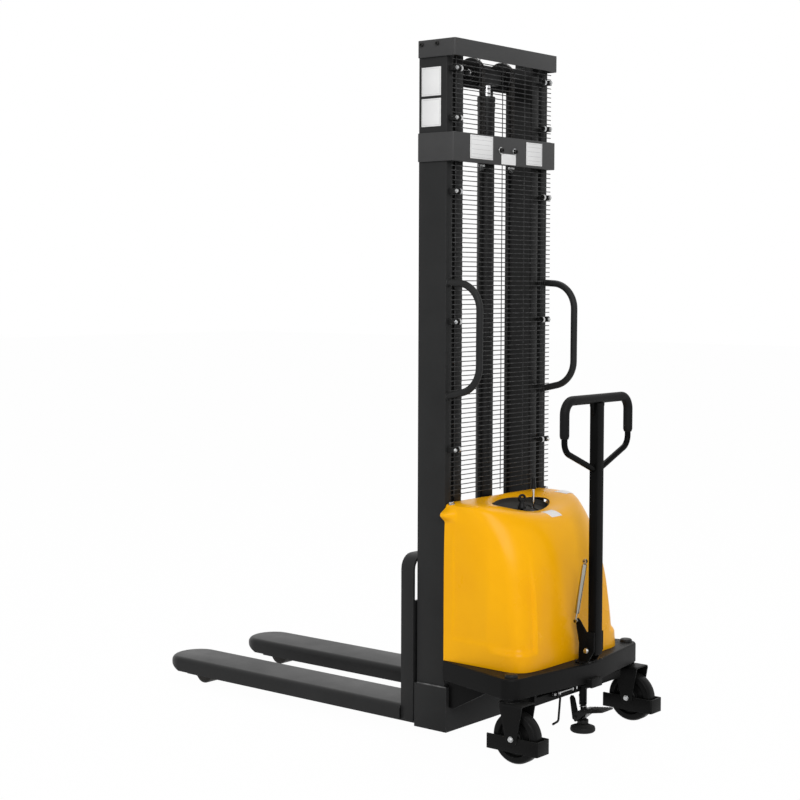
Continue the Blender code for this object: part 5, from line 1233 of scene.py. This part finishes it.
def cover_skin(rows, columns, grow):
    """Points of one face of the shell, row by row up from the deck to the front edge."""
    plain = []
    for depth, height, loss, squareness in rows:
        depth += grow * min(1.0, depth / 0.05)
        height += min(0.0, grow - SKIN) * min(1.0, height / 0.3)
        line = []
        for column in range(columns + 1):
            turn = pi * column / columns
            across, back = cos(turn), sin(turn) if 0 < column < columns else 0.0
            reach = (abs(across) ** squareness + back ** squareness) ** (-1 / squareness)
            across, back = across * reach, back * reach
            bulge = COVER_BULGE * back ** (squareness / 2)
            line.append(Vector(((COVER_HALF + grow - loss + bulge) * across, COVER_FRONT - depth * back,
                                DECK_TOP + height)))
        plain.append(line)
    skin = []
    for row, line in enumerate(plain):
        above, below = plain[min(len(rows) - 1, row + 1)], plain[max(0, row - 1)]
        skin.append([])
        for column, point in enumerate(line):
            along = line[min(columns, column + 1)] - line[max(0, column - 1)]
            out = along.cross(above[column] - below[column]).normalized()
            if out.dot(point - Vector((0, COVER_FRONT - 0.1, DECK_TOP + 0.2))) < 0:
                out = -out
            skin[-1].append(moulded(point, out) + moulded_top(point))
    return skin


def hollowed(form, cutters, piece):
    """Cut closed forms out of another and give back the mesh."""
    bmesh.ops.recalc_face_normals(form, faces=form.faces)
    mesh = bpy.data.meshes.new(piece)
    form.to_mesh(mesh)
    thing = bpy.data.objects.new(piece + "_blank", mesh)
    scene.collection.objects.link(thing)
    used = []
    for cutter in cutters:
        bmesh.ops.recalc_face_normals(cutter, faces=cutter.faces)
        tool = bpy.data.objects.new(piece + "_cut", bpy.data.meshes.new(piece + "_cut"))
        cutter.to_mesh(tool.data)
        scene.collection.objects.link(tool)
        boolean = thing.modifiers.new("cut", "BOOLEAN")
        boolean.operation = "DIFFERENCE"
        boolean.object = tool
        used.append(tool)
    done = bpy.data.meshes.new_from_object(thing.evaluated_get(bpy.context.evaluated_depsgraph_get()))
    for spent in [thing, *used]:
        bpy.data.objects.remove(spent)
    return done


amber = finish("amber_moulding", (0.87, 0.385, 0.001), (0.97, 0.470, 0.001), (0.24, 0.32), 1400.0, 0.00004,
               blotch=2.5, wear=0.0, dust=0.0, gleam=0.14)
COVER_ROWS, COVER_COLUMNS = 130, 200
rows = even_rows(COVER_ROWS)
shell = bmesh.new()
edges_of = []
for grow in (SKIN, 0.0):
    grid = [[shell.verts.new(point) for point in line] for line in cover_skin(rows, COVER_COLUMNS, grow)]
    for lower, upper in zip(grid, grid[1:]):
        for k in range(COVER_COLUMNS):
            shell.faces.new((lower[k], lower[k + 1], upper[k + 1], upper[k]))
    if grow:
        surface = BVHTree.FromBMesh(shell)
    up_one_side, down_the_other = [line[-1] for line in grid[1:]], [line[0] for line in grid[-2:0:-1]]
    edges_of.append(grid[0] + up_one_side + grid[-1][-2::-1] + down_the_other)
outer, inner = edges_of
for k in range(len(outer)):
    n = (k + 1) % len(outer)
    shell.faces.new((outer[k], outer[n], inner[n], inner[k]))
oval = bmesh.new()
slab(oval, [(PANEL.x + (PANEL_LONG + 0.0003) * cos(2 * pi * k / 120),
             PANEL.y + (PANEL_SHORT + 0.0003) * sin(2 * pi * k / 120))
            for k in range(120)], "XY", PANEL.z - 0.02, PANEL.z + 0.12)
cover_piece = settle("power_cover", hollowed(shell, [oval], "power_cover"), "chassis", amber, 0.0011, 3, 0.8,
                     stands_for=["cover"])
finished = BVHTree.FromPolygons([v.co.copy() for v in cover_piece.data.vertices],
                                [list(p.vertices) for p in cover_piece.data.polygons])

ABOVE, DOWN = 1.0, Vector((0, 0, -1))
edging = bmesh.new()
rim = []
for k in range(160):
    x = PANEL.x + (PANEL_LONG - 0.0008) * cos(2 * pi * k / 160)
    y = PANEL.y + (PANEL_SHORT - 0.0008) * sin(2 * pi * k / 160)
    hit = surface.ray_cast(Vector((x, y, ABOVE)), DOWN)[0]
    rim.append(Vector((x, y, hit.z - 0.0022)))
sweep(edging, rim, 0.0021, 10, closed=True)
made("panel_edging", edging, "chassis", cap_plastic)

lugs = bmesh.new()
for side, sign in SIDES:
    hit, normal = finished.ray_cast(Vector((sign * 0.247, COVER_FRONT - 0.014, ABOVE)), DOWN)[:2]
    if normal.z < 0:
        normal = -normal
    hex_bolt(lugs, hit + normal * 0.0002, normal, 0.013, 0.006, 0.0095)
made("cover_lug_bolts", lugs, "chassis", zinc)

LABEL_STEPS = 18


def label(form, centre, half, turn):
    """A thin plate laid on the cover's top, bent to its form."""
    span = range(LABEL_STEPS)
    sheets = []
    for lift in (-0.0004, 0.0010):
        rows = []
        for i in range(LABEL_STEPS + 1):
            row = []
            for j in range(LABEL_STEPS + 1):
                a, b = half[0] * (2 * i / LABEL_STEPS - 1), half[1] * (2 * j / LABEL_STEPS - 1)
                x = centre[0] + a * cos(turn) - b * sin(turn)
                y = centre[1] + a * sin(turn) + b * cos(turn)
                hit, normal = finished.ray_cast(Vector((x, y, ABOVE)), DOWN)[:2]
                row.append(form.verts.new(hit + normal * (lift if normal.z > 0 else -lift)))
            rows.append(row)
        sheets.append(rows)
    low, high = sheets
    for i in span:
        for j in span:
            form.faces.new((high[i][j], high[i + 1][j], high[i + 1][j + 1], high[i][j + 1]))
            form.faces.new((low[i][j + 1], low[i + 1][j + 1], low[i + 1][j], low[i][j]))
    edge = [(i, 0) for i in span] + [(LABEL_STEPS, j) for j in span]
    edge += [(LABEL_STEPS - i, LABEL_STEPS) for i in span] + [(0, LABEL_STEPS - j) for j in span]
    for (i, j), (m, n) in zip(edge, edge[1:] + edge[:1]):
        form.faces.new((low[i][j], low[m][n], high[m][n], high[i][j]))


tags = bmesh.new()
label(tags, (0.212, COVER_FRONT - 0.108), (0.027, 0.021), 0.1)
label(tags, (0.000, COVER_FRONT - 0.203), (0.027, 0.020), 0.0)
label_white = finish("label_white", (0.80, 0.79, 0.79), (0.88, 0.87, 0.87), (0.35, 0.45), 500.0, 0.00002, wear=0.0,
                     dust=0.0)
made("blank_labels", tags, "chassis", label_white)

# Control panel and controls -------------------------------------------------------------------
# A dark grey oval dish in the cover's top, sloped with it. A chrome lever with a black grip works
# through a slit in a rubber strip, and a ring pull is the isolator.

panel_grey = finish("panel_grey", (0.016, 0.015, 0.013), (0.026, 0.024, 0.021), (0.50, 0.62), 260.0, 0.0006,
                    wear=0.15, worn=(0.12, 0.12, 0.12))


def on_panel(x, y, above=0.0):
    """A point over the panel's sloped face."""
    return Vector((x, y, PANEL.z + (y - PANEL.y) * PANEL_SLOPE + above))


OVAL_STEPS = 120
tray = bmesh.new()
loops = []
for inset, above in ((0.0, -0.0060), (0.0, 0.0125), (0.0008, 0.0135), (0.0022, 0.0135), (0.003, 0.0125),
                     (0.0030, 0.0035), (0.0040, 0.0012), (0.0062, 0.0)):
    loops.append([tray.verts.new(on_panel(PANEL.x + (PANEL_LONG - inset) * cos(2 * pi * k / OVAL_STEPS),
                                          PANEL.y + (PANEL_SHORT - inset) * sin(2 * pi * k / OVAL_STEPS), above))
                  for k in range(OVAL_STEPS)])
for lower, upper in zip(loops, loops[1:]):
    for k in range(OVAL_STEPS):
        n = (k + 1) % OVAL_STEPS
        tray.faces.new((lower[k], lower[n], upper[n], upper[k]))
tray.faces.new(loops[0][::-1])
tray.faces.new(loops[-1])
lever_low, lever_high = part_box("control_lever")
LEVER_X = (lever_low.x + lever_high.x) / 2
LEVER_PIVOT = lever_low.z + 0.004
SLIT_HALF, SLIT_LONG = 0.0045, 0.022
slit = bmesh.new()
block(slit, (LEVER_X - SLIT_HALF, PANEL.y - SLIT_LONG, PANEL.z - 0.05),
      (LEVER_X + SLIT_HALF, PANEL.y + SLIT_LONG, PANEL.z + 0.05))
settle("panel_dish", hollowed(tray, [slit], "panel_dish"), "chassis", panel_grey, stands_for=["control_panel"])

SEAL_HALF, SEAL_GAP, SEAL_INNER, SEAL_END = 0.0062, 0.0046, 0.0225, 0.045
BOX_FACES = ((0, 3, 2, 1), (4, 5, 6, 7), (0, 1, 5, 4), (1, 2, 6, 5), (2, 3, 7, 6), (3, 0, 4, 7))
strip = bmesh.new()
for left, right, near, far in ((-SEAL_HALF, SEAL_HALF, -SEAL_END, -SEAL_INNER),
                               (-SEAL_HALF, SEAL_HALF, SEAL_INNER, SEAL_END),
                               (-SEAL_HALF, -SEAL_GAP, -SEAL_INNER, SEAL_INNER),
                               (SEAL_GAP, SEAL_HALF, -SEAL_INNER, SEAL_INNER)):
    verts = [strip.verts.new(on_panel(LEVER_X + x, PANEL.y + y, h)) for h in (0.0001, 0.0012)
             for x, y in ((left, near), (right, near), (right, far), (left, far))]
    for face in BOX_FACES:
        strip.faces.new([verts[k] for k in face])
made("lever_slot_seal", strip, "chassis", rubber)

lever_y = (lever_low.y + lever_high.y) / 2
shaft = bmesh.new()
lathe(shaft, [(0, LEVER_PIVOT - 0.0030), (0.0031, LEVER_PIVOT - 0.0030), (0.0033, LEVER_PIVOT),
              (0.0033, lever_high.z - 0.034), (0, lever_high.z - 0.034)], (LEVER_X, lever_y, 0), "Z", 28)
lathe(shaft, [(0.0040, -0.012), (0.0040, 0.012)], (LEVER_X, lever_y, LEVER_PIVOT), "X", 24)
made("lever_shaft", shaft, "lift_lever", chrome, stands_for=["control_lever"])
grip = bmesh.new()
top = lever_high.z
lathe(grip, [(0.0040, top - 0.0362), (0.0078, top - 0.0358), (0.0086, top - 0.0340), (0.0084, top - 0.0300),
             (0.0072, top - 0.0180), (0.0070, top - 0.0090), (0.0074, top - 0.0050), (0.0066, top - 0.0012),
             (0.0044, top - 0.0001), (0, top)],
      (LEVER_X, lever_y, 0), "Z", 40)
made("lever_handle", grip, "lift_lever", cap_plastic)

switch_low, switch_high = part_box("isolator_switch")
knob_x = (switch_low.x + switch_high.x) / 2
knob_y = PANEL.y
ring_z = switch_high.z - 0.014
pull = bmesh.new()
lathe(pull, [(0, switch_low.z), (0.0044, switch_low.z), (0.0044, PANEL.z + 0.0052), (0.0128, PANEL.z + 0.0060),
             (0.0130, PANEL.z + 0.0090), (0.0104, PANEL.z + 0.0150), (0.0088, PANEL.z + 0.0240),
             (0.0058, PANEL.z + 0.0262), (0, PANEL.z + 0.0262)],
      (knob_x, knob_y, 0), "Z", 40)
across = Vector((cos(radians(-30)), sin(radians(-30)), 0))
PULL_RING, PULL_BAR = 0.0098, 0.0039
ring_at = Vector((knob_x, knob_y, ring_z))
sweep(pull, [ring_at + (across * cos(2 * pi * k / 48) - DOWN * sin(2 * pi * k / 48)) * PULL_RING for k in range(48)],
      PULL_BAR, 16, closed=True)
made("isolator_pull", pull, "isolator_knob", cap_plastic, stands_for=["isolator_switch"])
